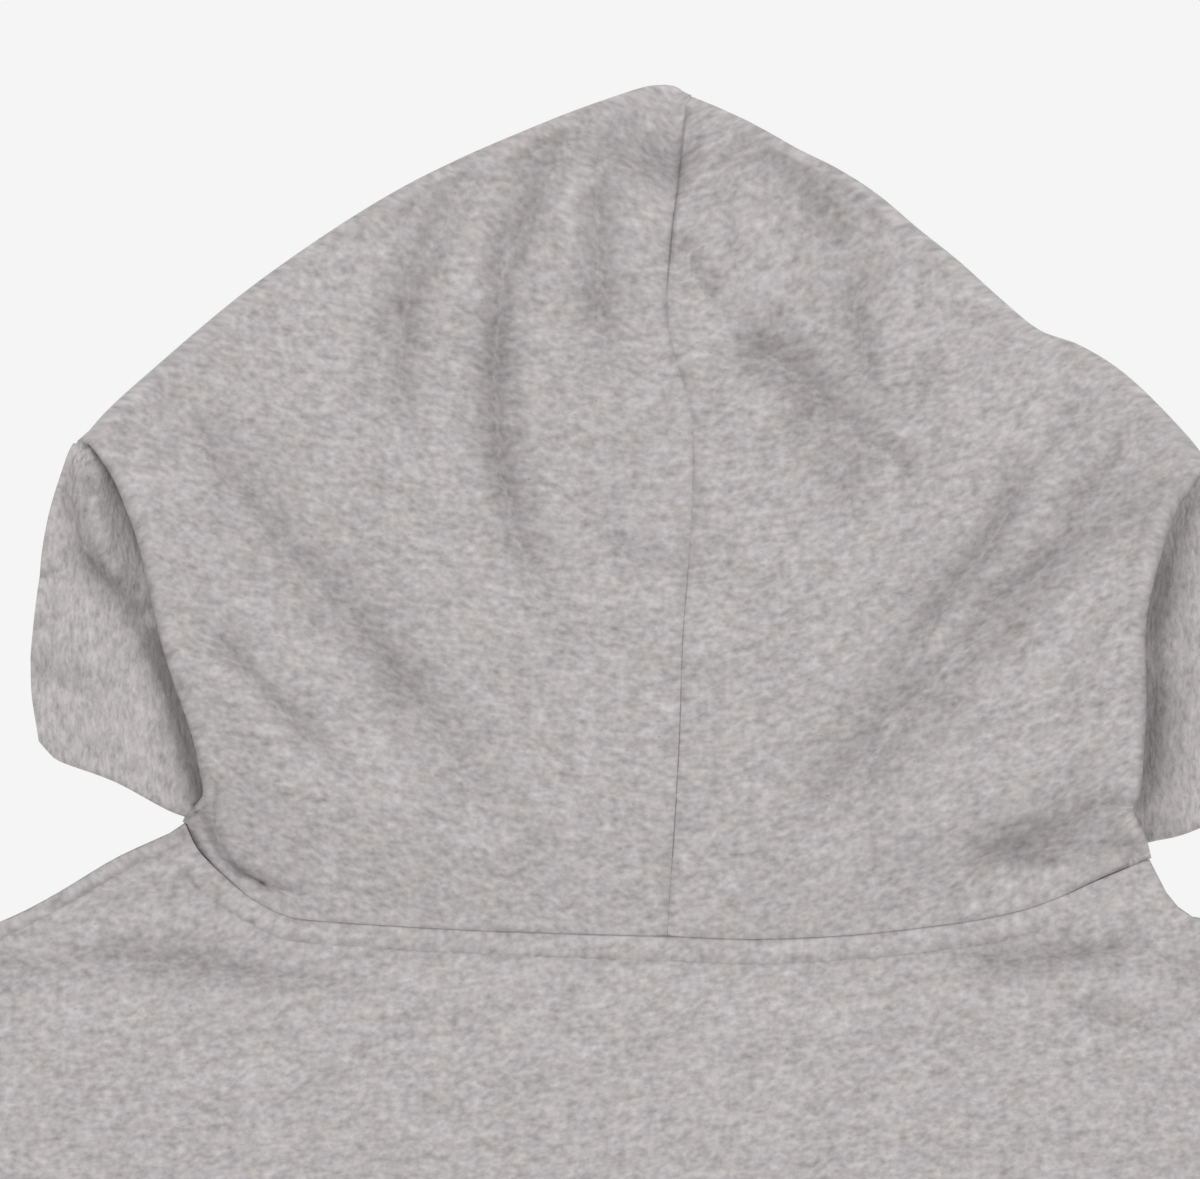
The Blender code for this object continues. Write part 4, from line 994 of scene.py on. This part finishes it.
# %% The wing: nap that shows beyond the side fold
WING_RISE = {"left": (12.0, 0.8, 4.4), "right": (15.0, 2.4, 6.5)}  # height, flat bottom and reach in mm
WING_FOLDS = [
    (0.30, 3.5, [(-161, 68), (-152, 62), (-143, 58), (-135, 55)], 0.1, 0.4),
    (0.28, 3.0, [(-146, 44), (-141, 52), (-139, 62), (-141, 72)], 0.1, 0.4),
    (0.24, 3.0, [(-157, 92), (-152, 84), (-149, 74)], 0.1, 0.4),
    (0.40, 2.5, [(150, 90), (138, 76), (128, 64), (121, 60)], 0.1, 0.3),
]
FACET_RIDGE = [(-148, 119), (-146.8, 112), (-145.8, 104), (-144.2, 96), (-141, 90.5)]


def wing_height(side, plan):
    """The turned-under crown lies on the surface under the hood and puffs up where it is free."""
    fold = smooth_line(SIDE_FOLD[side])
    height, bottom, reach = WING_RISE[side]
    sign = SIDES[side]
    outside = beside(fold, plan)[0] * -sign > 0
    from_corner = np.linalg.norm(plan - fold[-1], axis=-1)
    valley = smooth_line(WING_VALLEY[side]) if side in WING_VALLEY else fold
    off = beside(valley[::-1], plan)[0] if side in WING_VALLEY else -beside(fold, plan)[0]
    beyond = np.sqrt(np.maximum(np.abs(off) - bottom * MM, 0) ** 2 + MM**2) - MM
    puff = height * MM * (1 - np.exp(-beyond / (reach * MM)))
    if side == "left":
        ridge = distance_to(smooth_line(FACET_RIDGE), plan)
        near = (2.5 + 4.5 * ramp(from_corner / (22 * MM))) * MM
        facet = 6.0 * MM * np.exp(-((ridge / (3.8 * MM)) ** 2))
        facet = facet * ramp(distance_to(fold, plan) / near) * ramp(-off / (3.4 * MM))
        steep = 0.4 + 0.6 * ramp((104 * MM - plan[..., 1]) / (12 * MM))
        lifted = 1.2 * MM * ramp((plan[..., 1] - 84 * MM) / (16 * MM))
        puff = np.where(off > 0, puff * steep, 0) + facet + lifted
    puff = puff * (1 - 0.5 * ramp((np.abs(off) - 12 * MM) / (24 * MM)))
    puff = puff * ramp(from_corner / (5 * MM))
    rise = puff + (soft_waves(plan) * 1.5 - folds(WING_FOLDS, plan)) * ramp(puff / (3 * MM))
    return FLOOR_LAYER + np.where(outside, np.maximum(rise, 0), 0)


def turned_edge(upper, lower, outward, reach):
    """Rows of a fold's half round between two rows, the upper one first. It reaches this far out."""
    middle, radius = (upper + lower) / 2, (upper[:, 2] - lower[:, 2]) / 2
    rows = []
    for angle in FOLD_ANGLES:
        row = middle.copy()
        row[:, :2] += outward * np.reshape(reach * math.sin(angle), (-1, 1))
        row[:, 2] += radius * math.cos(angle)
        rows.append(row)
    return rows


def turned_grain(grain, upper, arcs, direction):
    """The grain runs on round a fold, in one direction of the cut cloth."""
    return [grain + np.linalg.norm(arc - upper, axis=1)[:, None] * direction for arc in arcs]


def with_height(plan, height):
    return np.concatenate([plan, np.broadcast_to(height, plan.shape[:-1])[..., None]], axis=-1)


# %% Make one half of the hood
def make_hood(side):
    sign = SIDES[side]
    edges = zip(hood_edges(side), (ACROSS, ACROSS, UP, UP))
    neck, gable, seam, fold = (at_shares(line, shares) for line, shares in edges)
    gable_out, fold_out = turned_to_corner(outward_of(gable), gable, outward_of(fold), fold)
    radius = fold_radius(fold)
    plan = patch(neck, gable, seam, fold, ACROSS, UP)

    edge = sampled(CHEEK_EDGE[side], UP)
    front = sampled(NECK_FRONT[side], even_shares(CHEEK_COLUMNS))
    front[0] = plan[0, -1]
    front[-1] = edge[0] = (sign * 3 * MM, front[-1][1])
    share = even_shares(CHEEK_COLUMNS)[None, :, None]
    cheek = (1 - share) * plan[:, -1][:, None] + share * edge[:, None]
    cheek = cheek + (1 - UP[:, None, None]) ** 4 * (front - (1 - share[0]) * front[0] - share[0] * front[-1])
    cheek_level = cheek_height(side, cheek)

    ground, lowest, free = hood_ground(side, plan, back_height(plan[:1]), cheek_level[:, 0] + 2 * radius)
    to_seam = distance_to(seam_line, plan)
    to_neck = distance_to(scoop_line, plan)
    creases = folds(NECK_CREASES, plan) * ramp(np.linalg.norm(plan - plan[:1], axis=-1) / (2 * MM))
    height = sunk(ground, (folds(HOOD_FOLDS, plan) - soft_waves(plan)) * free + creases, lowest)
    height = height - seam_dip(to_seam) - seam_dip(to_neck) * ramp(1 - to_neck / (8 * MM))
    cloth = Cloth()
    grain = hood_grain(side, plan)
    top = cloth.add_grid(with_height(plan, height), grain, flip=side == "left")
    under = add_crown(cloth, top[-1], side, gable_out)
    add_cheek(cloth, [row[-1] for row in top], side, cheek, cheek_level, fold_out, radius)
    cloth.sew(top[0])
    cloth.sew([row[0] for row in top[1:]] + [row[0] for row in under], np.array([1.0, 0, 0]))
    # painted shade along the seams and folds of the top layer, and on the nap beside the side fold
    painted_shade = np.zeros(len(cloth.points()))
    at_seams = 0.5 * np.exp(-((to_seam / (1.2 * MM)) ** 2)) + neck_seam_shade(plan, to_neck)
    in_folds = painted_shade_along(HOOD_FOLDS, plan) + painted_shade_along(HOOD_SHADE, plan, 1.0)
    painted_shade[np.concatenate(top)] = (in_folds + at_seams).ravel()
    crown = np.concatenate(under)
    painted_shade[crown] = painted_shade_along(WING_SHADE, cloth.points()[crown, :2], 1.0)
    return thicken(f"hood_{side}_half", cloth, heather, nap, painted_shade=painted_shade)


def add_crown(cloth, top_row, side, gable_out):
    """Turns the sheet under along the top of the hood, as far as the face opening."""
    sign = SIDES[side]
    upper = cloth.points()[top_row]
    grain = np.vstack(cloth.grains)[top_row]
    lower = upper * (1, 1, 0) + (0, 0, FLOOR_LAYER)
    arcs = turned_edge(upper, lower, gable_out, GABLE_RADIUS)
    grains = turned_grain(grain, upper, arcs, np.array([0, 1]))
    rows = [top_row] + [cloth.add_row(row, g) for row, g in zip(arcs, grains)]
    hem = sampled(CROWN_HEM[side], 1 - ACROSS[::-1])[::-1]
    crown_up = even_shares(CROWN_ROWS)
    wing = sampled(WING_SIDE[side], crown_up)
    wing[0] = lower[-1, :2]
    hem[0, 0] = sign * SEAM_GAP / 2
    middle = lower[0, :2] + (hem[0] - lower[0, :2]) * crown_up[:, None]
    crown = patch(lower[:, :2], hem, middle, wing, ACROSS, crown_up)
    under = [cloth.add_row(row) for row in with_height(crown, wing_height(side, crown))]
    rows += under
    for low, high in zip(rows, rows[1:]):
        cloth.join(low, high, flip=side == "left")
    return under


def add_cheek(cloth, side_column, side, cheek, heights, fold_out, radius):
    """Turns the sheet under along the side fold, down to the front neck seam."""
    upper = cloth.points()[side_column]
    grain = np.vstack(cloth.grains)[side_column]
    lower = with_height(cheek, heights)[:, 0]
    turned = turned_edge(upper, lower, fold_out, radius)
    grains = turned_grain(grain, upper, turned, np.array([SIDES[side], 0]))
    arcs = [cloth.add_row(row, g) for row, g in zip(turned, grains)]
    rows = [cloth.add_row(row) for row in with_height(cheek, heights)]
    columns = [np.array(side_column)] + arcs + [np.array([row[0] for row in rows])]
    for low, high in zip(columns, columns[1:]):
        cloth.join(low, high, flip=side == "right")
    for low, high in zip(rows, rows[1:]):
        cloth.join(low, high, flip=side == "left")
    along = np.append(cheek[1, 0] - cheek[0, 0], 0)
    cloth.sew([arc[0] for arc in arcs], along / np.linalg.norm(along))
    cloth.sew(rows[0])


hoods = {side: make_hood(side) for side in SIDES}

# %% [markdown]
# ## The fronts
# The garment lies on its fronts, so they are flat on the surface with their outer face down. Each
# ends beside the zip, where a row of topstitching holds its turned edge. A crease can't sink into
# the surface, so those of the fronts stand up as low ridges in the air between the two layers.


# %% Make the fronts
ZIP_EDGE = 5.5 * MM


def body_side(steps):
    """Armhole and side seam of the right side, from the band up to the shoulder."""
    line = np.vstack([smooth_line(SIDE_SEAM)[::-1], smooth_line(ARMHOLE)[::-1][1:]])
    return at_shares(line, even_shares(steps))


FRONT_RIDGE = 3.2 * MM  # highest crease of the fronts
FRONT_FOLDS = [
    (0.55, 5.0, [(-58, -120), (-66, -190), (-70, -270), (-64, -350)], 0.3, 0.4),
    (0.50, 6.0, [(-205, -250), (-180, -300), (-150, -340), (-118, -362)], 0.2, 0.4),
    (0.45, 5.5, [(-120, -430), (-128, -490), (-122, -550), (-126, -600)], 0.4, 0.2),
    (0.52, 5.0, [(52, -150), (64, -215), (62, -290), (70, -380)], 0.3, 0.4),
    (0.48, 6.0, [(210, -262), (186, -305), (158, -352), (120, -380)], 0.2, 0.4),
    (0.45, 5.5, [(128, -450), (120, -510), (128, -570), (124, -602)], 0.4, 0.2),
]


def front_height(plan):
    ridges = folds(FRONT_FOLDS, plan) + 0.5 * np.maximum(soft_waves(plan), 0)
    free = ramp((np.abs(plan[..., 0]) - 14 * MM) / (20 * MM)) * ramp((plan[..., 1] - BAND_SEAM_Y) / (8 * MM))
    return FLOOR_LAYER + zip_lift(plan) + FRONT_RIDGE * np.tanh(ridges / FRONT_RIDGE) * free


def make_front(side):
    sign = SIDES[side]
    neck = inside_line(sampled(NECK_FRONT[side], even_shares(40)), -sign * SEAM_GAP)
    shoulder = sampled(SHOULDER[side], even_shares(34))
    top = np.vstack([shoulder[::-1], neck[1:]])
    outer = body_side(150) * (sign, 1)
    up = even_shares(150)
    inner = np.column_stack([np.full(151, sign * ZIP_EDGE), BAND_SEAM_Y + (top[-1, 1] - BAND_SEAM_Y) * up])
    top[-1] = inner[-1]
    across = lengths(top) / lengths(top)[-1]
    bottom = (1 - across[:, None]) * outer[0] + across[:, None] * inner[0]
    plan = patch(bottom, top, outer, inner, across, up)
    cloth = Cloth()
    rows = cloth.add_grid(with_height(plan, front_height(plan)), flip=side == "left")
    cloth.sew_round(rows)
    zip_stitch = np.array([(sign * (ZIP_EDGE + 6 * MM), BAND_SEAM_Y), (sign * (ZIP_EDGE + 6 * MM), -60 * MM)])
    stitches = stitch_rows(plan, [zip_stitch])
    return thicken(f"front_{side}_half", cloth, heather, nap, stitches=stitches)


fronts = {side: make_front(side) for side in SIDES}

# %% [markdown]
# ## Sleeves, cuffs and hem band
# A sleeve laid flat is a tube pressed almost shut: it turns at the shoulder side and again at the
# underarm, where its seam runs, and some air keeps its middle a little higher. Cuffs and band are
# knitted in rib, whose columns stand up in rows and pull the cloth in.


# %% A flattened tube
TURNS = [math.radians(a) for a in (15, 30, 45, 60, 75, 87, 93, 105, 120, 135, 150, 165)]


def tube_loop(plan, top, length):
    """Middle of a flattened tube where it crosses a row of points, and its place on the cut cloth."""
    share = (lengths(plan) / lengths(plan)[-1])[:, None]
    turned = []
    for end, inner in ((0, 1), (-1, -2)):
        outward = plan[end] - plan[inner]
        outward /= np.linalg.norm(outward)
        turned.append((end, outward, (top[end] - FLOOR_LAYER) / 2))
    insets = [outward * (radius + WALL / 2) for _, outward, radius in turned]
    flat = plan - insets[0] * (1 - share) - insets[1] * share
    around = lengths(flat)
    arcs, grains = [], []
    for end, outward, radius in turned:
        middle = np.append(flat[end], FLOOR_LAYER + radius)
        angles = np.array(TURNS)
        dip = 0.35 * MM * np.exp(-(((angles - math.pi / 2) / 0.12) ** 2)) * (end == -1)
        out = (radius - dip) * np.sin(angles)
        arcs.append(middle + np.column_stack([out[:, None] * outward, radius * np.cos(angles)]))
        above = around[end] + radius * angles
        below = -around[end] - radius * (math.pi - angles)
        grains.append(np.where(angles < math.pi / 2, above, below) if end == -1 else -radius * angles)
    upper, lower = with_height(flat, top), with_height(flat, FLOOR_LAYER)
    loop = np.vstack([upper, arcs[1], lower[::-1], arcs[0][::-1]])
    u = np.concatenate([around, grains[1], -around[::-1], grains[0][::-1]])
    return loop, np.column_stack([u, np.full(len(u), length)])


def square_to(row, sign):
    """Unit directions in plan across a row, one for each point of its loop."""
    along = np.gradient(row, axis=0)
    along /= np.linalg.norm(along, axis=1)[:, None]
    across = np.column_stack([-along[:, 1] * sign, along[:, 0], np.zeros(len(row))])
    last, first = np.repeat(across[-1:], len(TURNS), axis=0), np.repeat(across[:1], len(TURNS), axis=0)
    return np.vstack([across, last, across[::-1], first])


def make_tube(name, plans, tops, side, outer, ribbed=False):
    """A flattened tube through rows of points of the right side, mirrored for the left."""
    sign = SIDES[side]
    cloth, loops, length = Cloth(), [], 0.0
    for k, (plan, top) in enumerate(zip(plans, tops)):
        if k:
            length += np.linalg.norm(plan - plans[k - 1], axis=1).mean()
        loop, grain = tube_loop(plan, top, length)
        loops.append(cloth.add_row(loop * (sign, 1, 1), grain))
    for low, high in zip(loops, loops[1:]):
        cloth.join(np.append(low, low[0]), np.append(high, high[0]), flip=side == "left")
    for loop, row in ((loops[0], plans[0]), (loops[-1], plans[-1])):
        cloth.sew(loop, square_to(row, sign))
    relief = None
    if ribbed:
        around = np.vstack(cloth.grains)[loops[0]][:, 0]
        relief = np.tile(rib_relief(around), len(loops))
    return thicken(name, cloth, outer, nap, relief=relief)


# %% Make the sleeves
SLEEVE_TOP = [(262, -36), (380, -98), (530, -221), (692, -366)]
SLEEVE_UNDER = [(290, -282), (352, -294), (480, -362), (626, -446)]
SLEEVE_FOLDS = [  # slope of the flanks, half-width mm, route, for the right sleeve; the left one is mirrored
    (0.45, 5, [(294, -272), (322, -236), (342, -190), (350, -136)], 0.1, 0.4),
    (0.40, 4, [(300, -290), (346, -262), (376, -222), (390, -166)], 0.1, 0.4),
    (0.42, 6, [(418, -328), (440, -282), (450, -240), (440, -170)], 0.1, 0.3),
    (0.34, 5, [(470, -352), (498, -322), (512, -290), (506, -240)], 0.1, 0.4),
    (0.40, 5, [(558, -398), (586, -360), (604, -330), (606, -290)], 0.1, 0.3),
    (0.34, 4, [(608, -428), (634, -392), (648, -366), (652, -336)], 0.1, 0.3),
]
CUFF_LENGTH, CUFF_NARROWING = 70 * MM, 0.86


def sleeve_rows(across, up):
    armhole = inside_line(at_shares(smooth_line(ARMHOLE), across), -SEAM_GAP)
    top, under = sampled(SLEEVE_TOP, up), sampled(SLEEVE_UNDER, up)
    top[0], under[0] = armhole[0], armhole[-1]
    end = (1 - across[:, None]) * top[-1] + across[:, None] * under[-1]
    return patch(armhole, end, top, under, across, up)


def make_sleeve(side):
    across, up = even_shares(70), seam_shares(460 * MM, 3.2 * MM, end=True)
    plans = sleeve_rows(across, up)
    base = (BACK_LAYER + (CUFF_LAYER - BACK_LAYER) * up)[:, None]
    from_seam, from_cuff = up[:, None] * 460 * MM, (1 - up[:, None]) * 440 * MM
    body = back_height(plans[0] * (SIDES[side], 1))[None]
    air = 2.2 * MM * (4 * across * (1 - across)) ** 0.7
    air = air * ramp(from_seam / (35 * MM)) * ramp(from_cuff / (25 * MM))
    free = ramp(from_seam / (12 * MM)) * ramp(from_cuff / (9 * MM)) * ramp(4.5 * across * (1 - across))
    moved = plans if side == "right" else plans + (3 * MM, -7 * MM)
    top = base + (body - base) * (1 - ramp(from_seam / (14 * MM))) + air
    creases = (folds(SLEEVE_FOLDS, moved) - soft_waves(moved) * 1.6) * free
    top = sunk(top, creases, FLOOR_LAYER + WALL + 0.4 * MM)
    top = top - seam_dip(from_seam) - seam_dip(from_cuff)
    return make_tube(f"sleeve_{side}_tube", plans, top, side, heather)


sleeves = {side: make_sleeve(side) for side in SIDES}

# %% Rib columns, and the cuffs
RIB_PITCH = 3.0 * MM


def rib_relief(around):
    """Round columns with narrow furrows between them."""
    wave = 0.5 + 0.5 * np.cos(2 * math.pi * around / RIB_PITCH)
    return 0.55 * MM * (wave**0.6 - 0.5)


rib = heather_knit("heather_rib")


def make_cuff(side):
    across = even_shares(210)
    end = sleeve_rows(across, even_shares(8))[-1]
    along = end[-1] - end[0]
    away = np.array([-along[1], along[0]]) / np.linalg.norm(along)
    middle = (end[0] + end[-1]) / 2
    start = end + away * SEAM_GAP
    tip = middle + away * (SEAM_GAP + CUFF_LENGTH) + (end - middle) * CUFF_NARROWING
    shares = seam_shares(CUFF_LENGTH, 7 * MM)
    plans = [start + (tip - start) * t for t in shares]
    bulge = 0.9 * MM * (4 * across * (1 - across)) ** 0.7
    tops = [CUFF_LAYER + bulge * ramp(t / 0.15) - seam_dip(t * CUFF_LENGTH) for t in shares]
    return make_tube(f"cuff_{side}_rib", plans, tops, side, rib, ribbed=True)


cuffs = {side: make_cuff(side) for side in SIDES}
print("a cuff has about", round(0.105 / RIB_PITCH), "ribs on each face")

# %% Make the hem band
BAND_HALF_TOP, BAND_HALF_BOTTOM = 282 * MM, 274 * MM
BAND_COLUMNS, ZIP_COLUMNS = 1100, 12  # points along half the band, and those left out on each side of the zip


def make_band():
    """One strip of rib: from the zip round one side, across the back, round the other side to the zip."""
    cloth, strips, reliefs = Cloth(), [], []
    depth = BAND_SEAM_Y - SEAM_GAP - HEM_Y
    for t in seam_shares(depth, 8 * MM):
        half, y = BAND_HALF_TOP + (BAND_HALF_BOTTOM - BAND_HALF_TOP) * t, BAND_SEAM_Y - SEAM_GAP - depth * t
        x = np.linspace(-half, half, BAND_COLUMNS + 1)
        plan = np.column_stack([x, np.full(len(x), y)])
        inside = np.minimum(1, (1 - np.abs(x) / half) * 12)
        level = back_height(np.column_stack([x, np.full(len(x), BAND_SEAM_Y)]))
        air = 1.2 * MM * ramp(inside) * ramp(t / 0.2)
        top = BACK_LAYER + (level - BACK_LAYER) * (1 - ramp(t / 0.15))
        top = top + air + waves(plan, 30 * MM, 0.3 * MM, 8) * ramp(inside)
        loop, grain = tube_loop(plan, top - seam_dip(t * depth), t * depth)
        turns, n = len(TURNS), len(x)
        upper, last, lower, first = np.split(np.arange(len(loop)), [n, n + turns, 2 * n + turns])
        beside_zip = BAND_COLUMNS // 2 - ZIP_COLUMNS
        right, left = lower[:beside_zip], lower[-beside_zip:]
        order = np.concatenate([left, first, upper, last, right])
        strip = loop[order].copy()
        strip[0, 0], strip[-1, 0] = -ZIP_EDGE, ZIP_EDGE
        place = lengths(strip)
        place -= place[-1] / 2
        strips.append(cloth.add_row(strip, np.column_stack([place, grain[order, 1]])))
        reliefs.append(rib_relief(place * BAND_HALF_TOP / half))
    for low, high in zip(strips, strips[1:]):
        cloth.join(low, high, flip=True)
    for strip in (strips[0], strips[-1]):
        cloth.sew(strip, np.array([0, 1.0, 0]))
    return thicken("hem_rib", cloth, rib, nap, relief=np.concatenate(reliefs))


band = make_band()

# %% [markdown]
# ## The zip
# The zip is closed. Each tape carries a row of teeth that hook into those of the other side. The
# slider, its pull and the retainer keep the shape of their solids, with a metal finish.


# %% Tape and metal
def woven_tape():
    shader = Shader("zip_tape_weave", 0.85)
    grain = shader.attribute("grain")
    warp = shader.noise(shader.stretched(grain, 0.35 * MM, 5 * MM), 1.0, 0.5)
    weft = shader.noise(shader.stretched(grain, 4 * MM, 0.4 * MM), 1.0, 0.5, shift=2.0)
    value = shader.mixed([(warp, 0.5), (weft, 0.5)])
    colour = shader.colours(value, [(0.35, grey(0.17, 0.02)), (0.65, grey(0.27, 0.02))])
    return shader.finish(colour, shader.bump(value, 0.2 * MM, 0.6))


def cast_metal():
    shader = Shader("zip_metal_cast", 0.35, Metallic=1.0)
    place = shader.tree.nodes.new("ShaderNodeTexCoord").outputs["Object"]
    wear = shader.noise(shader.stretched(place, 1.5 * MM, 1.5 * MM, 1.5 * MM), 3.0, 0.6)
    colour = shader.colours(wear, [(0.35, (0.42, 0.42, 0.43)), (0.65, (0.62, 0.62, 0.63))])
    shader.set(shader.surface.inputs["Roughness"], shader.spread(wear, 0.3, 0.7, 0.28, 0.45))
    return shader.finish(colour, shader.bump(wear, 0.05 * MM, 0.4))


tape_finish, metal_finish = woven_tape(), cast_metal()

# %% Tapes and teeth
TAPE_OUTER, TAPE_THICK, TEETH_HALF, TEETH_THICK = 16.5 * MM, 0.8 * MM, 3.0 * MM, 2.6 * MM
TAPE_LAYER = FLOOR_LAYER + WALL / 2 + SEAM_GAP + TAPE_THICK / 2
ZIP_TOP_Y, ZIP_BOTTOM_Y, TEETH_TOP_Y, TEETH_BOTTOM_Y = -61.5 * MM, -668 * MM, -64.8 * MM, -659.7 * MM
TOOTH_PITCH, TOOTH_LENGTH, TOOTH_REACH = 2.8 * MM, 1.15 * MM, 0.7 * MM


def make_tape(side):
    sign = SIDES[side]
    x = np.concatenate([[3.3, 3.7, 4.3, 5.0], np.linspace(6, 16.5, 8)]) * MM
    cord = 0.45 * MM * np.exp(-(((x - 4.0 * MM) / (0.6 * MM)) ** 2))
    cloth = Cloth()
    grid = []
    for y in np.linspace(ZIP_BOTTOM_Y, ZIP_TOP_Y, 200):
        plan = np.column_stack([sign * x, np.full(len(x), y)])
        grid.append(with_height(plan, TAPE_LAYER + zip_lift(plan)))
    rows = cloth.add_grid(grid, flip=side == "left")
    for row in rows:
        cloth.sew(row)
    cords = np.tile(cord, len(rows))
    return thicken(f"zip_{side}_tape", cloth, tape_finish, tape_finish, relief=cords, wall=TAPE_THICK)


TOOTH_OUTLINE = [  # shares of a tooth's half reach and length, round its neck and its head
    (-1.0, -0.5), (0.55, -0.5), (0.7, -0.28), (1.0, -0.34), (1.0, 0.34), (0.7, 0.28), (0.55, 0.5),
        (-1.0, 0.5),
]
TOOTH_LEVELS = [(-1.0, 0.82), (-0.8, 1.0), (0.8, 1.0), (1.0, 0.82)]  # height and size, shares


def make_teeth(side):
    """One mesh of all the teeth of a side: a neck that widens to a head, hooked past the middle."""
    sign = SIDES[side]
    start = TEETH_BOTTOM_Y + (0.25 if side == "left" else 0.75) * TOOTH_PITCH
    outline = np.array(TOOTH_OUTLINE) * (-(TEETH_HALF + TOOTH_REACH) / 2, TOOTH_LENGTH)
    outline = (outline + ((TEETH_HALF - TOOTH_REACH) / 2, 0)) * (sign, 1)
    middle = outline.mean(axis=0)
    sized = [(middle + (outline - middle) * size, height) for height, size in TOOTH_LEVELS]
    rings = [with_height(plan, height * TEETH_THICK / 2) for plan, height in sized]
    tooth, corners = np.vstack(rings), len(outline)
    solid = [tuple(range(corners))[::-1], tuple(range(len(tooth) - corners, len(tooth)))]
    for ring in range(0, len(tooth) - corners, corners):
        for k in range(corners):
            after = (k + 1) % corners
            solid.append((ring + k, ring + after, ring + corners + after, ring + corners + k))
    if side == "right":
        solid = [face[::-1] for face in solid]
    points, faces = [], []
    for y in np.arange(start, TEETH_TOP_Y - TOOTH_LENGTH, TOOTH_PITCH):
        level = TAPE_LAYER + float(zip_lift(np.array([0.0, y])))
        faces += [tuple(len(points) * len(tooth) + p for p in face) for face in solid]
        points.append(tooth + (0, y, level))
    made = mesh_piece(f"zip_{side}_teeth", np.vstack(points), faces, [metal_finish], smooth=False)
    print(made.name, len(points), "teeth")
    return made


tapes = {side: make_tape(side) for side in SIDES}
teeth = {side: make_teeth(side) for side in SIDES}

# %% [markdown]
# ## Light, floor and camera
# Product pictures of clothes are taken on a light table: the floor glows evenly, and large soft
# lamps above leave hardly a shadow. The floor here glows evenly, most of the light comes from all
# over the sky, and one wide lamp adds a little direction. The camera looks straight down from far
# away, so nothing leans.


# %% Floor
FLOOR_Z = -0.6 * MM  # just clear of the cloth


def make_floor():
    shader = Shader("pale_floor", 1.0)
    tree = shader.tree
    glow = tree.nodes.new("ShaderNodeEmission")
    glow.inputs["Color"].default_value = (0.913, 0.913, 0.913, 1)
    tree.links.new(glow.outputs[0], tree.nodes["Material Output"].inputs["Surface"])
    side = np.linspace(-15, 15, 11)
    points = [(x, y, FLOOR_Z) for y in side for x in side]
    corners = [row * len(side) + column for row in range(len(side) - 1) for column in range(len(side) - 1)]
    quads = [(c, c + 1, c + len(side) + 1, c + len(side)) for c in corners]
    floor = mesh_piece("floor", points, quads, [shader.material])
    return floor


floor = make_floor()
print("floor at z =", round(floor.data.vertices[0].co.z, 4))


# %% Light and camera
def aimed(direction):
    """Rotation that points a lamp's or a camera's -Z along a direction."""
    return Vector(direction).to_track_quat("-Z", "Y").to_euler()


def overhead_lamp(strength, spread, towards):
    """Parallel soft light: every part of the garment gets the same, however large it is."""
    light = bpy.data.lights.new("overhead_lamp", "SUN")
    light.energy, light.angle = strength, math.radians(spread)
    made = bpy.data.objects.new("overhead_lamp", light)
    made.location, made.rotation_euler = (0, 0, 2.5), aimed(towards)
    bpy.context.scene.collection.objects.link(made)


SKY_STRENGTH, LAMP_STRENGTH, LAMP_SPREAD, LAMP_DIRECTION = 0.655, 1.27, 110, (-0.06, -0.4, -1)
world = bpy.data.worlds.new("studio")
bpy.context.scene.world = world
world.use_nodes = True
world.node_tree.nodes["Background"].inputs["Color"].default_value = (1.0, 1.0, 1.0, 1)
world.node_tree.nodes["Background"].inputs["Strength"].default_value = SKY_STRENGTH
overhead_lamp(LAMP_STRENGTH, LAMP_SPREAD, LAMP_DIRECTION)

VIEW_WIDTH, VIEW_CENTRE = 300 * MM, (-18.75 * MM, 86.6 * MM)
CAMERA_HEIGHT, CLOTH_TOP, SENSOR = 2.0, 7 * MM, 36.0
camera = bpy.data.cameras.new("camera")
camera.sensor_width = SENSOR
camera.lens = SENSOR * (CAMERA_HEIGHT - CLOTH_TOP) / VIEW_WIDTH
camera.clip_end = 20
eye = bpy.data.objects.new("camera", camera)
eye.location = (VIEW_CENTRE[0], VIEW_CENTRE[1] + NAPE_Y, CAMERA_HEIGHT)
bpy.context.scene.collection.objects.link(eye)
bpy.context.scene.camera = eye
bpy.context.scene.view_settings.view_transform = "Standard"
print("camera", round(camera.lens), "mm,", CAMERA_HEIGHT, "m above the surface")

# %% [markdown]
# ## Tie each piece to its solid
# A piece rides on the body that its solid belongs to, and hides the solid that it stands for.

# %% Ride and replace
BODY = "garment"


def dress(piece, node):
    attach(piece, BODY)
    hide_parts(node)


def lay(piece, node, flat, held, rests_on, slot="fleece"):
    dress(piece, node)


SHEETS = {  # cut width and length in metres, how it lies, what it rests on
    "back": ((0.59, 0.66), "laid", ["front_left_half", "front_right_half"]),
    "front": ((0.295, 0.66), "laid", []),
    "sleeve": ((0.52, 0.52), "folded", []),
    "cuff": ((0.22, 0.072), "folded", []),
    "hood": ((0.36, 0.42), "folded", []),
    "hem": ((1.16, 0.068), "folded", []),
}
lay(back, "back_panel", *SHEETS["back"])
lay(band, "hem_band", *SHEETS["hem"], slot="rib")
for side in SIDES:
    lay(fronts[side], f"front_{side}", *SHEETS["front"])
    lay(sleeves[side], f"sleeve_{side}", *SHEETS["sleeve"])
    lay(hoods[side], f"hood_{side}", *SHEETS["hood"])
    lay(cuffs[side], f"cuff_{side}", *SHEETS["cuff"], slot="rib")
    dress(tapes[side], f"zip_tape_{side}")
    dress(teeth[side], f"zip_teeth_{side}")
for node in ("zip_slider", "zip_box", "pull_tab"):
    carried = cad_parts[node]
    carried.data.materials.clear()
    carried.data.materials.append(metal_finish)
